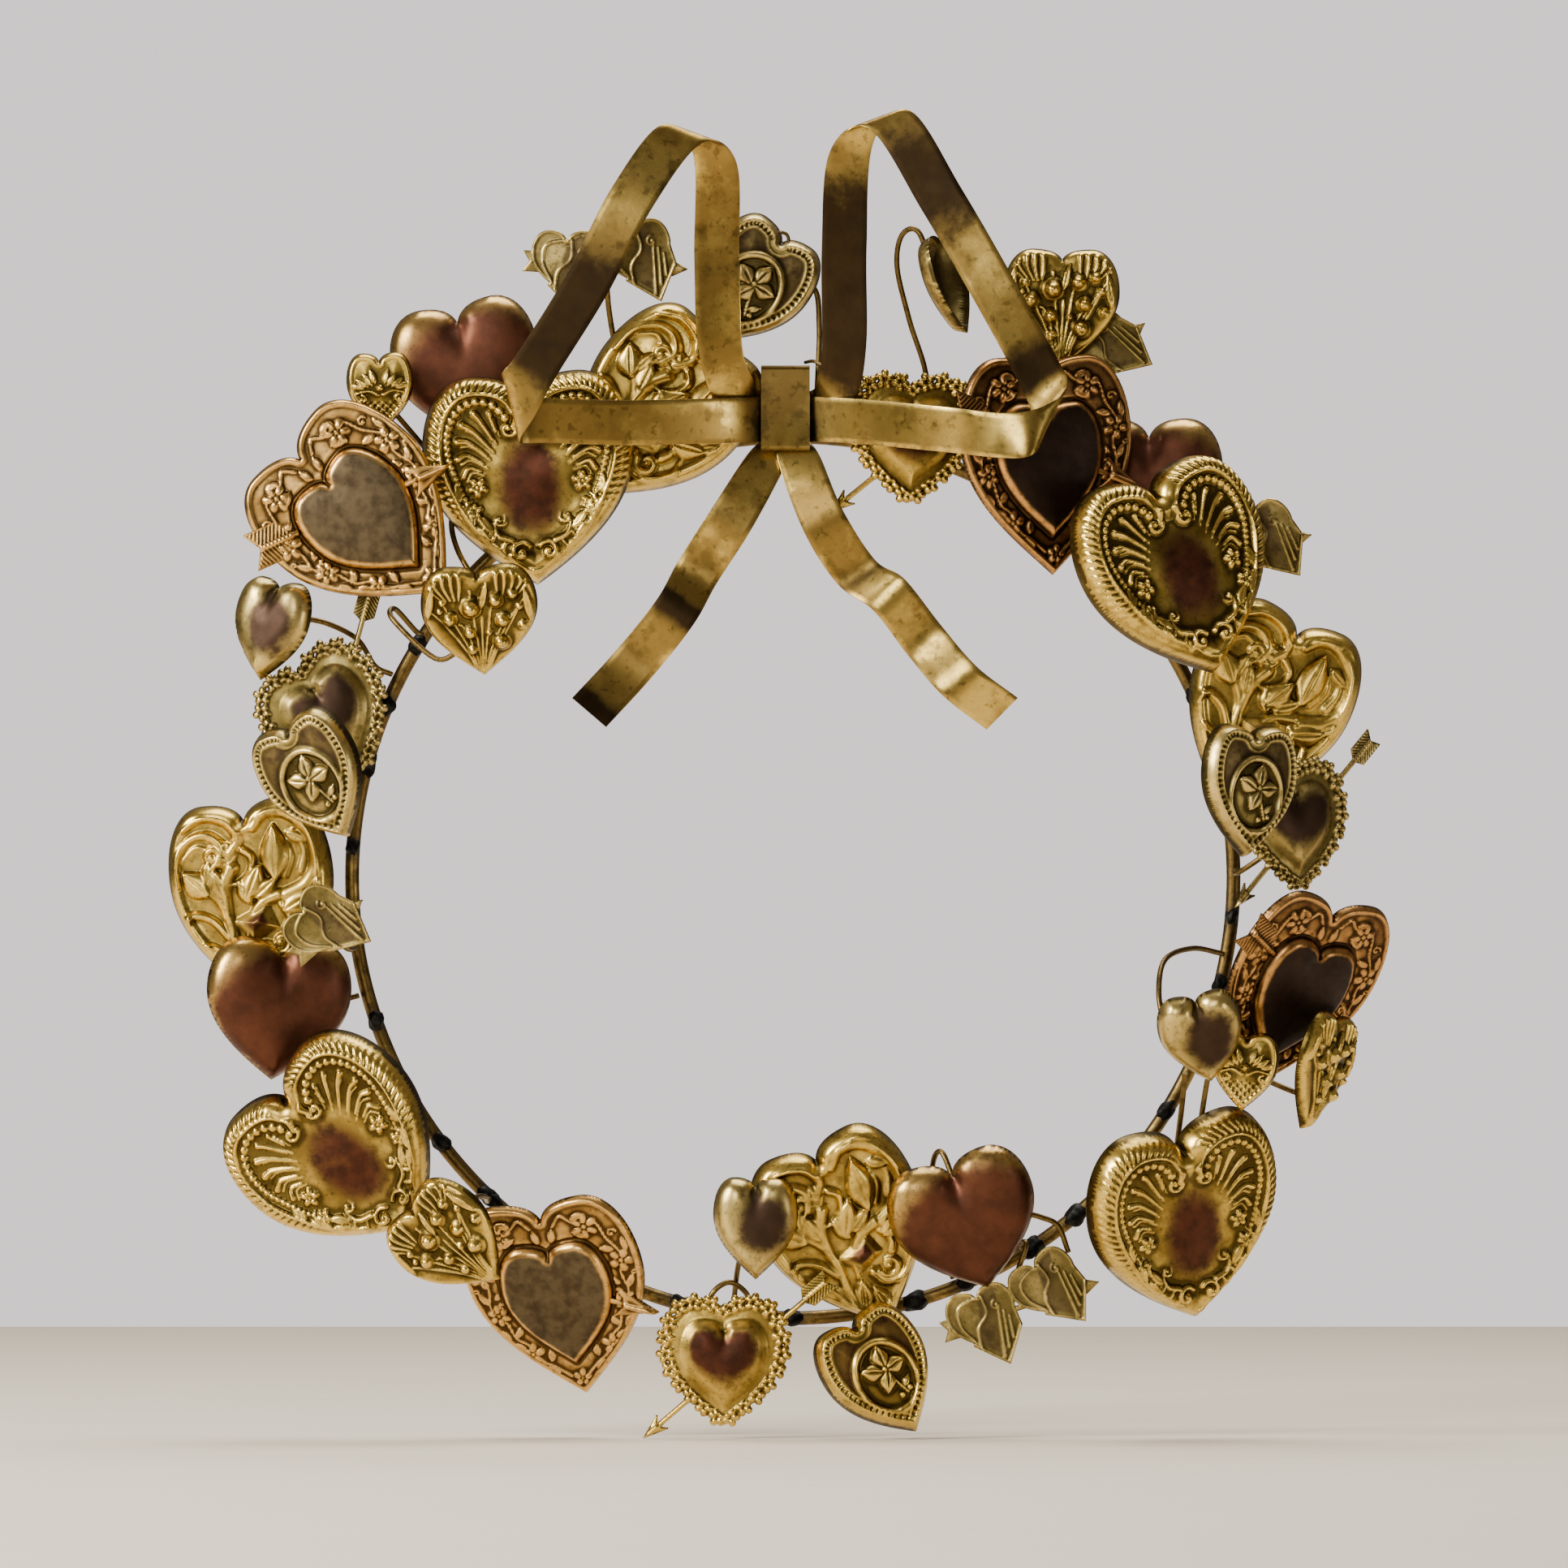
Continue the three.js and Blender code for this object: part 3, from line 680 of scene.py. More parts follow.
@dataclass
class Stamping:
    """A stamped sheet. Each design overrides press().

    Attributes:
        span: size of the grid that it is pressed from.
        middle: middle of that grid.
        cell: size of a grid cell.
        brim: height of its front at its edge.
        step: twice the height over its surroundings at which it is fully worn.
        reach: how far round a point those surroundings go.
        polish: how much brighter than usual all of it is rubbed.
        finish: its finish.
        slot: a material slot's name for it; not used.
    """

    span: Point = (60.0, 60.0)
    middle: Point = (0.0, 0.0)
    cell: float = FINE
    brim: float = 0.0
    step: float = 0.7
    reach: float = 1.1
    polish: float = 0.0
    finish: Finish = Finish.GOLD
    slot: Slot = Slot.GOLD

    def press(self, x: Array, y: Array) -> Pressing:
        """Works the design over a grid.

        Args:
            x: the grid's x.
            y: the grid's y.

        Returns:
            The design's heights, stain and distance inside its outline.
        """
        raise NotImplementedError

    def mesh(self, shop: Shop, name: str) -> bpy.types.Mesh:
        """Stamps the sheet out of a grid, in its own frame.

        Args:
            shop: the shop's tools.
            name: the mesh's name.

        Returns:
            A closed thin shell with its wear and stain painted on.
        """
        columns, rows = (int(side / self.cell) + 6 for side in self.span)
        left = self.middle[0] - self.cell * columns / 2
        low = self.middle[1] - self.cell * rows / 2
        x, y = np.meshgrid(left + self.cell * np.arange(columns + 1), low + self.cell * np.arange(rows + 1))
        pressing = self.press(x, y)
        smooth = blur(pressing.height, max(1, round(self.reach / self.cell)))
        wear = np.clip(0.5 + self.polish + (pressing.height - smooth) / self.step, 0, 1)
        back = np.minimum(pressing.height - SHEET, smooth - 0.8 * SHEET)
        shape = bmesh.new()
        bmesh.ops.create_grid(shape, x_segments=columns, y_segments=rows, size=0.5)
        stretch = Matrix.Diagonal((self.cell * columns, self.cell * rows, 1, 1))
        place = Matrix.Translation((left + self.cell * columns / 2, low + self.cell * rows / 2, 0))
        bmesh.ops.transform(shape, matrix=place @ stretch, verts=shape.verts)
        row, column, edge = self._trim(shape, pressing.inside, left, low)
        front_z = np.where(edge, self.brim, pressing.height[row, column])
        back_z = np.where(edge, self.brim - SHEET, back[row, column])
        tag = shape.verts.layers.int.new("tag")
        rear = shape.verts.layers.int.new("rear")
        for index, vert in enumerate(shape.verts):
            vert[tag] = index
        copied = bmesh.ops.extrude_face_region(shape, geom=shape.faces[:], use_keep_orig=True)["geom"]
        for vert in copied:
            if isinstance(vert, bmesh.types.BMVert):
                vert[rear] = 1
        tags = np.array([vert[tag] for vert in shape.verts])
        is_front = np.array([vert[rear] == 0 for vert in shape.verts])
        for vert, height in zip(shape.verts, np.where(is_front, front_z[tags], back_z[tags])):
            vert.co.z = height
        shape.verts.layers.int.remove(shape.verts.layers.int["tag"])
        shape.verts.layers.int.remove(shape.verts.layers.int["rear"])
        bmesh.ops.recalc_face_normals(shape, faces=shape.faces)
        made = shop.mesh(name, shape)
        wears, stains = wear[row, column], pressing.stain[row, column]
        paint(made, "wear", np.where(is_front, wears[tags], BACK_WEAR))
        paint(made, "stain", stains[tags])
        return made

    def _trim(
        self, shape: bmesh.types.BMesh, inside: Array, left: float, low: float
    ) -> tuple[Array, Array, Array]:
        """Trims the grid to the outline and draws its edge onto it.

        Args:
            shape: the grid's bmesh.
            inside: the grid of distances inside the outline.
            left: the grid's least x.
            low: the grid's least y.

        Returns:
            The grid row, the grid column and whether it is on the edge, for each vertex that is left.
        """
        slope_y, slope_x = np.gradient(inside, self.cell)
        steep = np.maximum(slope_x**2 + slope_y**2, 0.1)

        def index(vert: bmesh.types.BMVert) -> tuple[int, int]:
            """The grid row and column of a vertex."""
            return round((vert.co.y - low) / self.cell), round((vert.co.x - left) / self.cell)

        outside = inside < -0.45 * self.cell
        spare = [face for face in shape.faces if any(outside[index(vert)] for vert in face.verts)]
        bmesh.ops.delete(shape, geom=spare, context="FACES")
        loose = [vert for vert in shape.verts if not vert.link_faces]
        bmesh.ops.delete(shape, geom=loose, context="VERTS")
        places = [index(vert) for vert in shape.verts]
        edge = [vert.is_boundary for vert in shape.verts]
        for vert, place in zip(shape.verts, places):
            if vert.is_boundary:
                push = -inside[place] / steep[place]
                vert.co.x += push * slope_x[place]
                vert.co.y += push * slope_y[place]
        row, column = np.array(places).T
        return row, column, np.array(edge)


@dataclass
class RopeHeart(Stamping):
    """The large heart: a rope border, a row of beads, plumes, flowers and scrolls round a plain shield.

    Attributes:
        size: its outline.
        spread: how far the relief is spread from the middle.
    """

    span: Point = (60, 60.5)
    middle: Point = (0, 3.75)
    step: float = 0.9
    size: HeartSize = HeartSize(60, 52.5, 7.5, 0.5)
    spread: float = 1.1

    def press(self, x: Array, y: Array) -> Pressing:
        """Presses the heart.

        Args:
            x: the grid's x.
            y: the grid's y.

        Returns:
            Its heights, stain and distance inside its outline.
        """
        inside, along = Fence(self.size.outline()).measure(x, y)
        base = profile(
            inside,
            (
                (-2, -0.4), (0, 0), (0.4, 2.8), (0.9, 4.8), (1.6, 6.2), (2.6, 7.2), (3.8, 7.8), (5.0, 8.0),
                (6.2, 7.6), (8, 6.9), (12, 6.7), (18, 7.4), (27, 8.6),
            ),
        )
        base = soften(base, inside, 6.5, self.cell)
        round_tip = along / along.max()
        upper = smooth_step(round_tip, 0.13, 0.2) * smooth_step(1 - round_tip, 0.13, 0.2)
        open_cleft = smooth_step(np.hypot(x, y - self.size.length / 2), 4, 7)
        slant = np.where(x > 0, 1, -1) * inside * 0.3
        gadroon = np.abs(np.cos(np.pi * (along / 2.4 + slant))) ** 0.7
        band = smooth_step(inside, 0.9, 1.6) * smooth_step(-inside, -5.0, -4.3)
        base += (1.0 * gadroon - 0.7) * band * upper * open_cleft
        relief = Relief(x / self.spread, y / self.spread)
        for side in (-1, 1):
            self._border(relief, side)
            self._plumes(relief, side)
            self._foot(relief, side)
        shield = 1 - (np.abs(x / 10.5) ** 2.2 + np.abs((y - 1.5) / 15.5) ** 2.2)
        plain = smooth_step(shield, -0.1, 0.35)
        edge = inside - 2.2 * smooth_step(y, -12, 2)
        height = base + relief.height * (1 - plain) * smooth_step(edge, 2.2, 3.2)
        return Pressing(height, 0.85 * smooth_step(shield, -0.5, 1.0), inside)

    @staticmethod
    def _border(relief: Relief, side: int) -> None:
        """The smooth ridge that ends in a scroll at the cleft, and the beads inside it.

        Args:
            relief: the relief that it joins.
            side: 1 for the right half, -1 for the left.
        """
        ridge = [
            (3.2, 16.8), (2.4, 20), (4.4, 23.6), (9, 26), (14.8, 26.2), (19.8, 23.2), (22.6, 17.5),
            (23, 10.5), (21, 3), (17.2, -5), (11.8, -12.5), (7, -18),
        ]
        relief.stroke([(side * px, py) for px, py in ridge], 1.2, 0.6, 1.5)
        relief.spiral((side * 4.6, 16.6), 2.3, 1.0, 180 if side > 0 else 0, side, 0.8, 1.5)
        row = [
            (5.4, 19.3), (7.6, 22.2), (11, 23.6), (15, 23.4), (18.2, 20.8), (20.1, 16.5), (20.4, 10.5),
            (18.5, 3.4), (15.1, -4.2), (10.4, -11),
        ]
        path = smooth_path(row, 40)
        reach = np.concatenate([[0], np.cumsum(np.hypot(*np.diff(path, axis=0).T))])
        where, radius = 0.0, 1.25
        while where < reach[-1]:
            at = (np.interp(where, reach, path[:, 0]), np.interp(where, reach, path[:, 1]))
            relief.bead((side * at[0], at[1]), radius, 1.1 * radius)
            where += 1.85 * radius
            radius = max(0.62, 0.975 * radius)

    @staticmethod
    def _plumes(relief: Relief, side: int) -> None:
        """The fan of curved strokes in a lobe, with a flower and a leaf below it.

        Args:
            relief: the relief that it joins.
            side: 1 for the right half, -1 for the left.
        """
        ends = (
            ((9.2, 20.6), 0.9), ((13.2, 20.9), 1.0), ((16.6, 18.2), 1.05), ((18.0, 14.0), 1.05),
            ((18.2, 9.5), 1.0), ((17.0, 5.0), 0.9),
        )
        for step, ((ex, ey), wide) in enumerate(ends):
            root = (8.0 + 0.9 * step, 16.2 - 2.0 * step)
            bend = (0.45 * root[0] + 0.55 * ex + 0.5, 0.5 * root[1] + 0.5 * ey + 1.5)
            plume = [(side * px, py) for px, py in (root, bend, (ex, ey))]
            relief.stroke(plume, 0.35, wide, 1.2)
            thin = [(side * (px - 1.0), py - 1.3) for px, py in (root, bend, (ex, ey))]
            relief.stroke(thin, 0.25, 0.45, 0.7)
        relief.flower((side * 13.6, 2.0), 2.9, 5, 20 * side, 1.5)
        relief.flower((side * 14.6, -4.0), 2.2, 5, 50 * side, 1.3)
        relief.leaf((side * 12.2, -7.4), 6.5, 2.6, 90 - 40 * side, 1.2)

    @staticmethod
    def _foot(relief: Relief, side: int) -> None:
        """The leaves and mirrored scrolls above the tip.

        Args:
            relief: the relief that it joins.
            side: 1 for the right half, -1 for the left.
        """
        relief.spiral((side * 3.6, -15.2), 2.6, 1.2, 90 + 60 * side, -side, 0.8, 1.4)
        relief.stroke([(side * 0.4, -20.4), (side * 3.0, -19.4), (side * 6.4, -16.0)], 0.6, 0.4, 1.1)
        relief.stroke([(side * 5.4, -12.6), (side * 8.8, -11.0), (side * 10.0, -7.4)], 0.9, 0.4, 1.3)
        relief.spiral((side * 8.6, -6.8), 1.9, 0.9, 60 * side + 90, side, 0.6, 1.2)
        relief.leaf((side * 9.4, -14.6), 7.0, 2.4, 90 - 38 * side, 1.2)
        relief.leaf((side * 12.6, -10.6), 7.0, 2.4, 90 - 30 * side, 1.2)
        relief.leaf((side * 16.2, -5.2), 6.5, 2.2, 90 - 25 * side, 1.1)
        relief.leaf((side * 18.6, 1.2), 5.5, 2.0, 90 - 12 * side, 1.0)
        for k in range(6):
            at = (side * (6.6 + 2.0 * k), -17.4 + 2.9 * k)
            relief.stroke([at, (at[0] - 1.5 * side, at[1] + 2.0)], 0.55, 0.25, 0.9)


@dataclass
class ArrowHeart(Stamping):
    """The copper-toned heart: a flowered border round a raised plain heart.

    Attributes:
        size: its outline.
    """

    span: Point = (52, 62.5)
    middle: Point = (0, 3)
    step: float = 0.55
    reach: float = 0.7
    finish: Finish = Finish.COPPER
    slot: Slot = Slot.COPPER
    size: HeartSize = HeartSize(52, 56, 6)

    def press(self, x: Array, y: Array) -> Pressing:
        """Presses the heart.

        Args:
            x: the grid's x.
            y: the grid's y.

        Returns:
            Its heights, stain and distance inside its outline.
        """
        inside = Fence(self.size.outline()).inside(x, y)
        heart = Fence(self.size.outline(0.61)).inside(x, y)
        rim_knots = ((-2, -0.3), (0, 0), (0.4, 1.5), (0.9, 2.1), (1.6, 1.9), (2.1, 1.6), (12, 1.8))
        heart_knots = ((-2, 0), (-0.4, 0), (0.1, 1.1), (0.9, 2.0), (1.8, 2.4), (6, 3.1), (16, 3.5))
        base = profile(inside, rim_knots)
        pillow = profile(heart, heart_knots)
        pillow = soften(pillow, heart, 4.0, self.cell)
        groove = -0.45 * np.exp(-(((heart + 0.7) / 0.5) ** 2))
        relief = Relief(x, y)
        for side in (-1, 1):
            self._vine(relief, side)
        relief.flower((0.6, -22.2), 3.0, 5, 80, 0.9)
        rim = smooth_step(inside, 1.7, 2.4) * smooth_step(-heart, 0.6, 1.3)
        height = base + pillow + groove + relief.height * rim
        return Pressing(height, 0.9 * smooth_step(heart, 0.3, 2.6), inside)

    @staticmethod
    def _vine(relief: Relief, side: int) -> None:
        """One side's vine, from tip to cleft: flowers, leaves and curled tendrils.

        Args:
            relief: the relief that it joins.
            side: 1 for the right half, -1 for the left.
        """
        stem = [
            (2.4, -21.4), (6.4, -17.8), (9.6, -15.4), (12.0, -10.4), (15.4, -7.2), (17.2, -1.4), (20.4, 3.2),
            (19.6, 9.4), (21.2, 14.8), (18.0, 20.4), (15.6, 26.4), (9.8, 26.6), (6.2, 29.2), (3.4, 26.2),
        ]
        relief.stroke([(side * px, py) for px, py in stem], 0.42, 0.42, 0.7)
        blooms = ((11.8, -12.8, 3.6), (18.6, 0.6, 3.7), (20.6, 13.2, 4.1), (12.6, 25.2, 4.3))
        for k, (px, py, radius) in enumerate(blooms):
            relief.flower((side * px, py), radius, 5 + k % 2, 25 * k + 10, 1.0)
        leaves = (
            (7.0, -18.6, 40), (6.6, -13.8, 100), (15.4, -10.0, 20), (14.0, -5.4, 130), (18.2, -6.2, 60),
            (21.8, 6.4, 60), (16.6, 7.0, 150), (22.6, 18.2, 100), (17.2, 17.2, 170), (11.0, 28.4, 20),
            (10.6, 22.8, 150), (2.4, 23.4, 80),
        )
        for px, py, angle in leaves:
            relief.leaf((side * px, py), 4.8, 2.3, angle if side > 0 else 180 - angle, 0.85)
        curls = ((9.4, -18.0, 200), (18.6, -9.6, 260), (17.0, 3.9, 180), (23.4, 8.6, 300), (19.8, 21.8, 20))
        for px, py, facing in curls:
            turned = facing if side > 0 else 180 - facing
            relief.spiral((side * px, py), 1.5, 0.9, turned, side, 0.36, 0.7)


@dataclass
class Arrow(Stamping):
    """A flat arrow that points along x, with a hatched feather and a faceted head.

    Attributes:
        length: from end to end.
        shaft: width of its shaft.
        head: length and width of its head.
        barb: how far the head's back is cut in.
        feather: length and width of its feather.
        nick: how far the feather's end is cut in.
        slant: how far the feather's front edges slope back.
        hidden: from where to where the shaft runs behind a raised heart, and is left out.
        inset: how far from each end of the arrow the shaft stops.
        thick: height of the flat sheet, and of the shaft's ridge over it.
        facet: height of the head's ridge.
        bow: height of the feather's ridge.
        hatch: height, slope and spacing of the feather's lines.
        plain: how far in from the feather's edge the lines begin and are whole.
    """

    span: Point = (62, 12)
    cell: float = 0.35
    brim: float = 0.7
    finish: Finish = Finish.COPPER
    slot: Slot = Slot.COPPER
    length: float = 62.0
    shaft: float = 2.0
    head: Point = (12.5, 9.5)
    barb: float = 2.2
    feather: Point = (14.0, 11.0)
    nick: float = 3.2
    slant: float = 3.6
    hidden: Point = (-16.0, 13.0)
    inset: float = 3.0
    thick: float = 0.7
    facet: float = 1.3
    bow: float = 0.5
    hatch: Point = (0.22, 0.45, 1.15)
    plain: Point = (0.4, 0.8)

    def press(self, x: Array, y: Array) -> Pressing:
        """Presses the arrow.

        Args:
            x: the grid's x.
            y: the grid's y.

        Returns:
            Its heights, stain and distance inside its outline.
        """
        point, vane, inside = self.measure(x, y)
        off = np.abs(y)
        spine = np.clip(1 - (y / (self.shaft / 2)) ** 2, 0, 1)
        facet = self.facet * np.clip(1 - off / (0.5 * self.head[1]), 0, 1) * smooth_step(point, -0.2, 0.4)
        high, slope, pitch = self.hatch
        hatch = high * np.cos(2 * np.pi * (x - slope * off) / pitch) * smooth_step(vane, *self.plain)
        bowed = self.bow * np.clip(1 - off / (0.5 * self.feather[1]), 0, 1) * smooth_step(vane, -0.2, 0.3)
        height = self.thick + self.thick * spine + facet + hatch + bowed
        return Pressing(height, np.zeros(x.shape), inside)

    def measure(self, x: Array, y: Array) -> tuple[Array, Array, Array]:
        """Measures points against the arrow.

        Args:
            x: the points' x.
            y: the points' y.

        Returns:
            The distances inside its head, inside its feather and inside all of it.
        """
        end = self.length / 2
        long, wide = self.head
        corners = [(end, 0), (end - long, wide / 2), (end - long + self.barb, 0), (end - long, -wide / 2)]
        point = Fence(np.array(corners)[::-1]).inside(x, y)
        long, wide = self.feather
        front = -end + long - self.slant
        corners = [
            (-end + self.nick, 0), (-end, wide / 2), (front, wide / 2), (-end + long, 0), (front, -wide / 2),
            (-end, -wide / 2),
        ]
        vane = Fence(np.array(corners)[::-1]).inside(x, y)
        start, stop = self.hidden
        shaft = np.minimum(self.shaft / 2 - np.abs(y), np.maximum(start - x, x - stop))
        shaft = np.minimum(shaft, end - self.inset - np.abs(x))
        return point, vane, np.maximum(np.maximum(point, vane), shaft)


@dataclass
class LilyHeart(Stamping):
    """The heart with lilies: scrolls in the lobes, curving stalks, a spindle bud and a pointed bud.

    Attributes:
        size: its outline.
    """

    span: Point = (47.5, 58.5)
    middle: Point = (0, 2.75)
    step: float = 2.4
    polish: float = 0.13
    size: HeartSize = HeartSize(47.5, 53, 5.5, 0.45)

    def press(self, x: Array, y: Array) -> Pressing:
        """Presses the heart.

        Args:
            x: the grid's x.
            y: the grid's y.

        Returns:
            Its heights, stain and distance inside its outline.
        """
        inside = Fence(self.size.outline()).inside(x, y)
        base = profile(
            inside,
            (
                (-2, -0.4), (0, 0), (0.5, 2.2), (1.3, 4.0), (2.4, 5.2), (3.4, 5.3), (4.4, 4.4), (6, 4.1),
                (12, 4.5), (20, 5.0),
            ),
        )
        base = soften(base, inside, 4.0, self.cell)
        relief = Relief(x, y, 1.6)
        self._left_lobe(relief)
        self._right_lobe(relief)
        self._stalks(relief)
        self._foot(relief)
        height = base + relief.height * smooth_step(inside, 1.6, 3.4)
        bud = self._bud(x, y)
        height = np.maximum(height, base + bud)
        return Pressing(height, 0.75 * smooth_step(bud, 0.8, 2.4), inside)

    @staticmethod
    def _left_lobe(relief: Relief) -> None:
        """Two scrolls that roll towards the cleft.

        Args:
            relief: the relief that it joins.
        """
        outer = [(-20.5, 10), (-20, 17), (-16, 22.5), (-10.5, 23.5), (-6.6, 20), (-8, 15.6)]
        relief.stroke(outer, 0.5, 1.3, 1.5)
        relief.spiral((-9.6, 17.2), 2.6, 0.9, 20, 1, 0.9, 1.4)
        relief.stroke([(-17.5, 25.5), (-11, 28.2), (-4.6, 26.4), (-1.6, 21.6), (-4.4, 17.6)], 0.5, 1.2, 1.5)
        relief.spiral((-4.6, 19.6), 2.0, 0.9, -60, -1, 0.8, 1.4)
        relief.stroke([(-18.5, 17), (-14.4, 20.4), (-11, 19.6)], 0.35, 0.6, 0.7)

    @staticmethod
    def _right_lobe(relief: Relief) -> None:
        """A broad scroll round a spindle bud.

        Args:
            relief: the relief that it joins.
        """
        broad = [(3.2, 23.5), (7, 27.2), (13.2, 26.6), (18.6, 21), (20, 13), (16.6, 6.4), (10.4, 3.6)]
        relief.stroke(broad, 0.7, 1.7, 1.6)
        relief.stroke([(14.6, 22), (17, 16), (15.6, 10.4)], 0.4, 1.0, 0.9)
        relief.leaf((8.6, 16.4), 16.5, 5.4, 86, 2.6, 0.12)
        relief.stroke([(12.4, 19.5), (13.2, 14.5), (10.6, 9.5)], 0.3, 0.8, 0.9)
        relief.leaf((15.4, 19.8), 7.0, 2.4, -30, 1.3)

    @staticmethod
    def _stalks(relief: Relief) -> None:
        """Curving stalks with open lilies on the left and in the middle.

        Args:
            relief: the relief that it joins.
        """
        relief.stroke([(-4.6, -22), (-6.6, -12), (-6.4, -3), (-8.6, 4), (-13.8, 9.6)], 1.2, 0.8, 1.6)
        relief.stroke([(-6.6, -8), (-7.2, 2), (-6.8, 9), (-4.6, 13.6)], 0.9, 1.6, 1.8)
        relief.leaf((-15.2, 10.2), 10.5, 5.0, 132, 2.2, 0.2)
        relief.leaf((-11.4, 12.6), 8.0, 2.8, 82, 1.9)
        relief.leaf((-8.6, 9.4), 9.0, 4.2, 104, 2.0, 0.25)
        relief.stroke([(-10, 14), (-7, 16.2), (-4, 15.6), (-2.6, 17)], 0.7, 0.3, 1.6)
        relief.stroke([(-7.6, -6), (-12, -0.4), (-17.4, 1.4), (-20.2, -2.6), (-17.6, -6.4)], 0.9, 1.0, 1.6)
        relief.stroke([(-6.8, -16), (-11.4, -8.6), (-15.6, -7.2)], 0.7, 0.5, 1.2)
        relief.leaf((1.4, 8.8), 11.0, 4.6, 62, 2.4, 0.25)
        relief.leaf((-1.4, 6.4), 8.0, 3.0, 110, 2.0, 0.2)
        relief.leaf((4.6, 6.6), 8.6, 3.4, 35, 2.0)
        relief.stroke([(-7.0, 9.8), (-3.8, 8.8), (0.4, 11.2), (1.8, 15.6), (-0.6, 18.2)], 0.4, 0.9, 1.7)
        relief.stroke([(-2.4, -9), (-1.2, -3), (2.6, 2.2), (8.2, 4.2)], 0.6, 1.3, 1.6)

    @staticmethod
    def _foot(relief: Relief) -> None:
        """Leaves to the right, and a scroll and veined leaves above the tip.

        Args:
            relief: the relief that it joins.
        """
        relief.leaf((13.4, 1.6), 10.5, 4.6, 24, 2.1, 0.3)
        relief.leaf((18.2, 5.4), 6.4, 2.4, 48, 1.6)
        relief.stroke([(8.4, 1.4), (10.6, -2.4), (9.2, -5.6)], 0.7, 1.1, 1.6)
        relief.stroke([(14.2, -2.4), (14.8, -7.6), (10.6, -12.6), (4.8, -13.4), (2.2, -9.4)], 0.5, 1.1, 1.7)
        relief.spiral((7.0, -9.2), 3.4, 1.2, 190, 1, 1.0, 1.7)
        relief.leaf((-3.2, -14.6), 10.0, 3.6, 74, 1.6)
        relief.leaf((1.4, -17.6), 8.4, 3.2, 104, 1.5)
        relief.leaf((-7.4, -12.6), 8.0, 2.6, 118, 1.3)
        for k in range(4):
            relief.stroke([(1.6 * k - 2.4, -23.4), (2.4 * k - 3.4, -18.6 + 0.6 * k)], 0.5, 0.3, 0.9)

    @staticmethod
    def _bud(x: Array, y: Array) -> Array:
        """The four-sided pointed bud low in the middle.

        Args:
            x: the grid's x.
            y: the grid's y.

        Returns:
            Its heights.
        """
        u, v = x - 1.2, y + 2.6
        sides = np.stack([
            5.2 - (0.95 * u + 0.3 * v), 4.6 - (-0.35 * u + 0.94 * v) * 1.15, 5.4 - (-0.75 * u - 0.66 * v),
            4.8 - (0.35 * u - 0.94 * v) * 1.1,
        ])
        return 0.72 * np.clip(sides.min(0), 0, 4.4)


@dataclass
class PlainHeart(Stamping):
    """A smooth puffed heart with a turned edge.

    Attributes:
        size: its outline.
        depth: its height in the middle.
        film_and_shade_at: the middle of the film of oxide, set right of the heart's middle so that the right
            side takes more of it and the upper left stays brassy: real oxide, laid out as painted light from
            the upper left.
        film: how far the film reaches across and up.
        soft: where the film begins and is whole, as a share of that reach.
    """

    span: Point = (42, 40.5)
    middle: Point = (0, 2.75)
    cell: float = COARSE
    finish: Finish = Finish.RUSSET
    slot: Slot = Slot.RUSSET
    size: HeartSize = HeartSize(42, 34.5, 5.5, 0.45)
    depth: float = 7.0
    # The film sits right of the middle, so the upper left stays brassy as painted light.
    film_and_shade_at: Point = (3.0, -2.0)
    film: Point = (26.0, 24.0)
    soft: Point = (-0.5, 0.75)

    def press(self, x: Array, y: Array) -> Pressing:
        """Presses the heart.

        Args:
            x: the grid's x.
            y: the grid's y.

        Returns:
            Its heights, stain and distance inside its outline.
        """
        inside = Fence(self.size.outline()).inside(x, y)
        reach = np.clip(inside / (0.24 * self.size.width), 0, 1)
        puff = np.sqrt(np.clip(1 - (1 - reach) ** 2, 0, 1))
        swell = np.clip(inside / (0.5 * self.size.width), 0, 1)
        dome = self.depth * (0.86 * puff + 0.14 * swell)
        height = soften(dome, inside, 0.1 * self.size.width, self.cell)
        crease = np.exp(-((x / 1.8) ** 2)) * smooth_step(y, 0.12 * self.size.length, 0.55 * self.size.length)
        height -= 0.22 * self.depth * crease * smooth_step(inside, 0, 2)
        # The oxide film, shifted right so that the right side goes red-brown and the upper left stays brassy:
        # real oxide laid out as painted light and shade.
        across, up = (x - self.film_and_shade_at[0]) / self.film[0], (y - self.film_and_shade_at[1]) / self.film[1]
        stain = smooth_step(1 - across**2 - up**2, *self.soft) * smooth_step(inside, -0.5, 1.5)
        return Pressing(height, stain, inside)


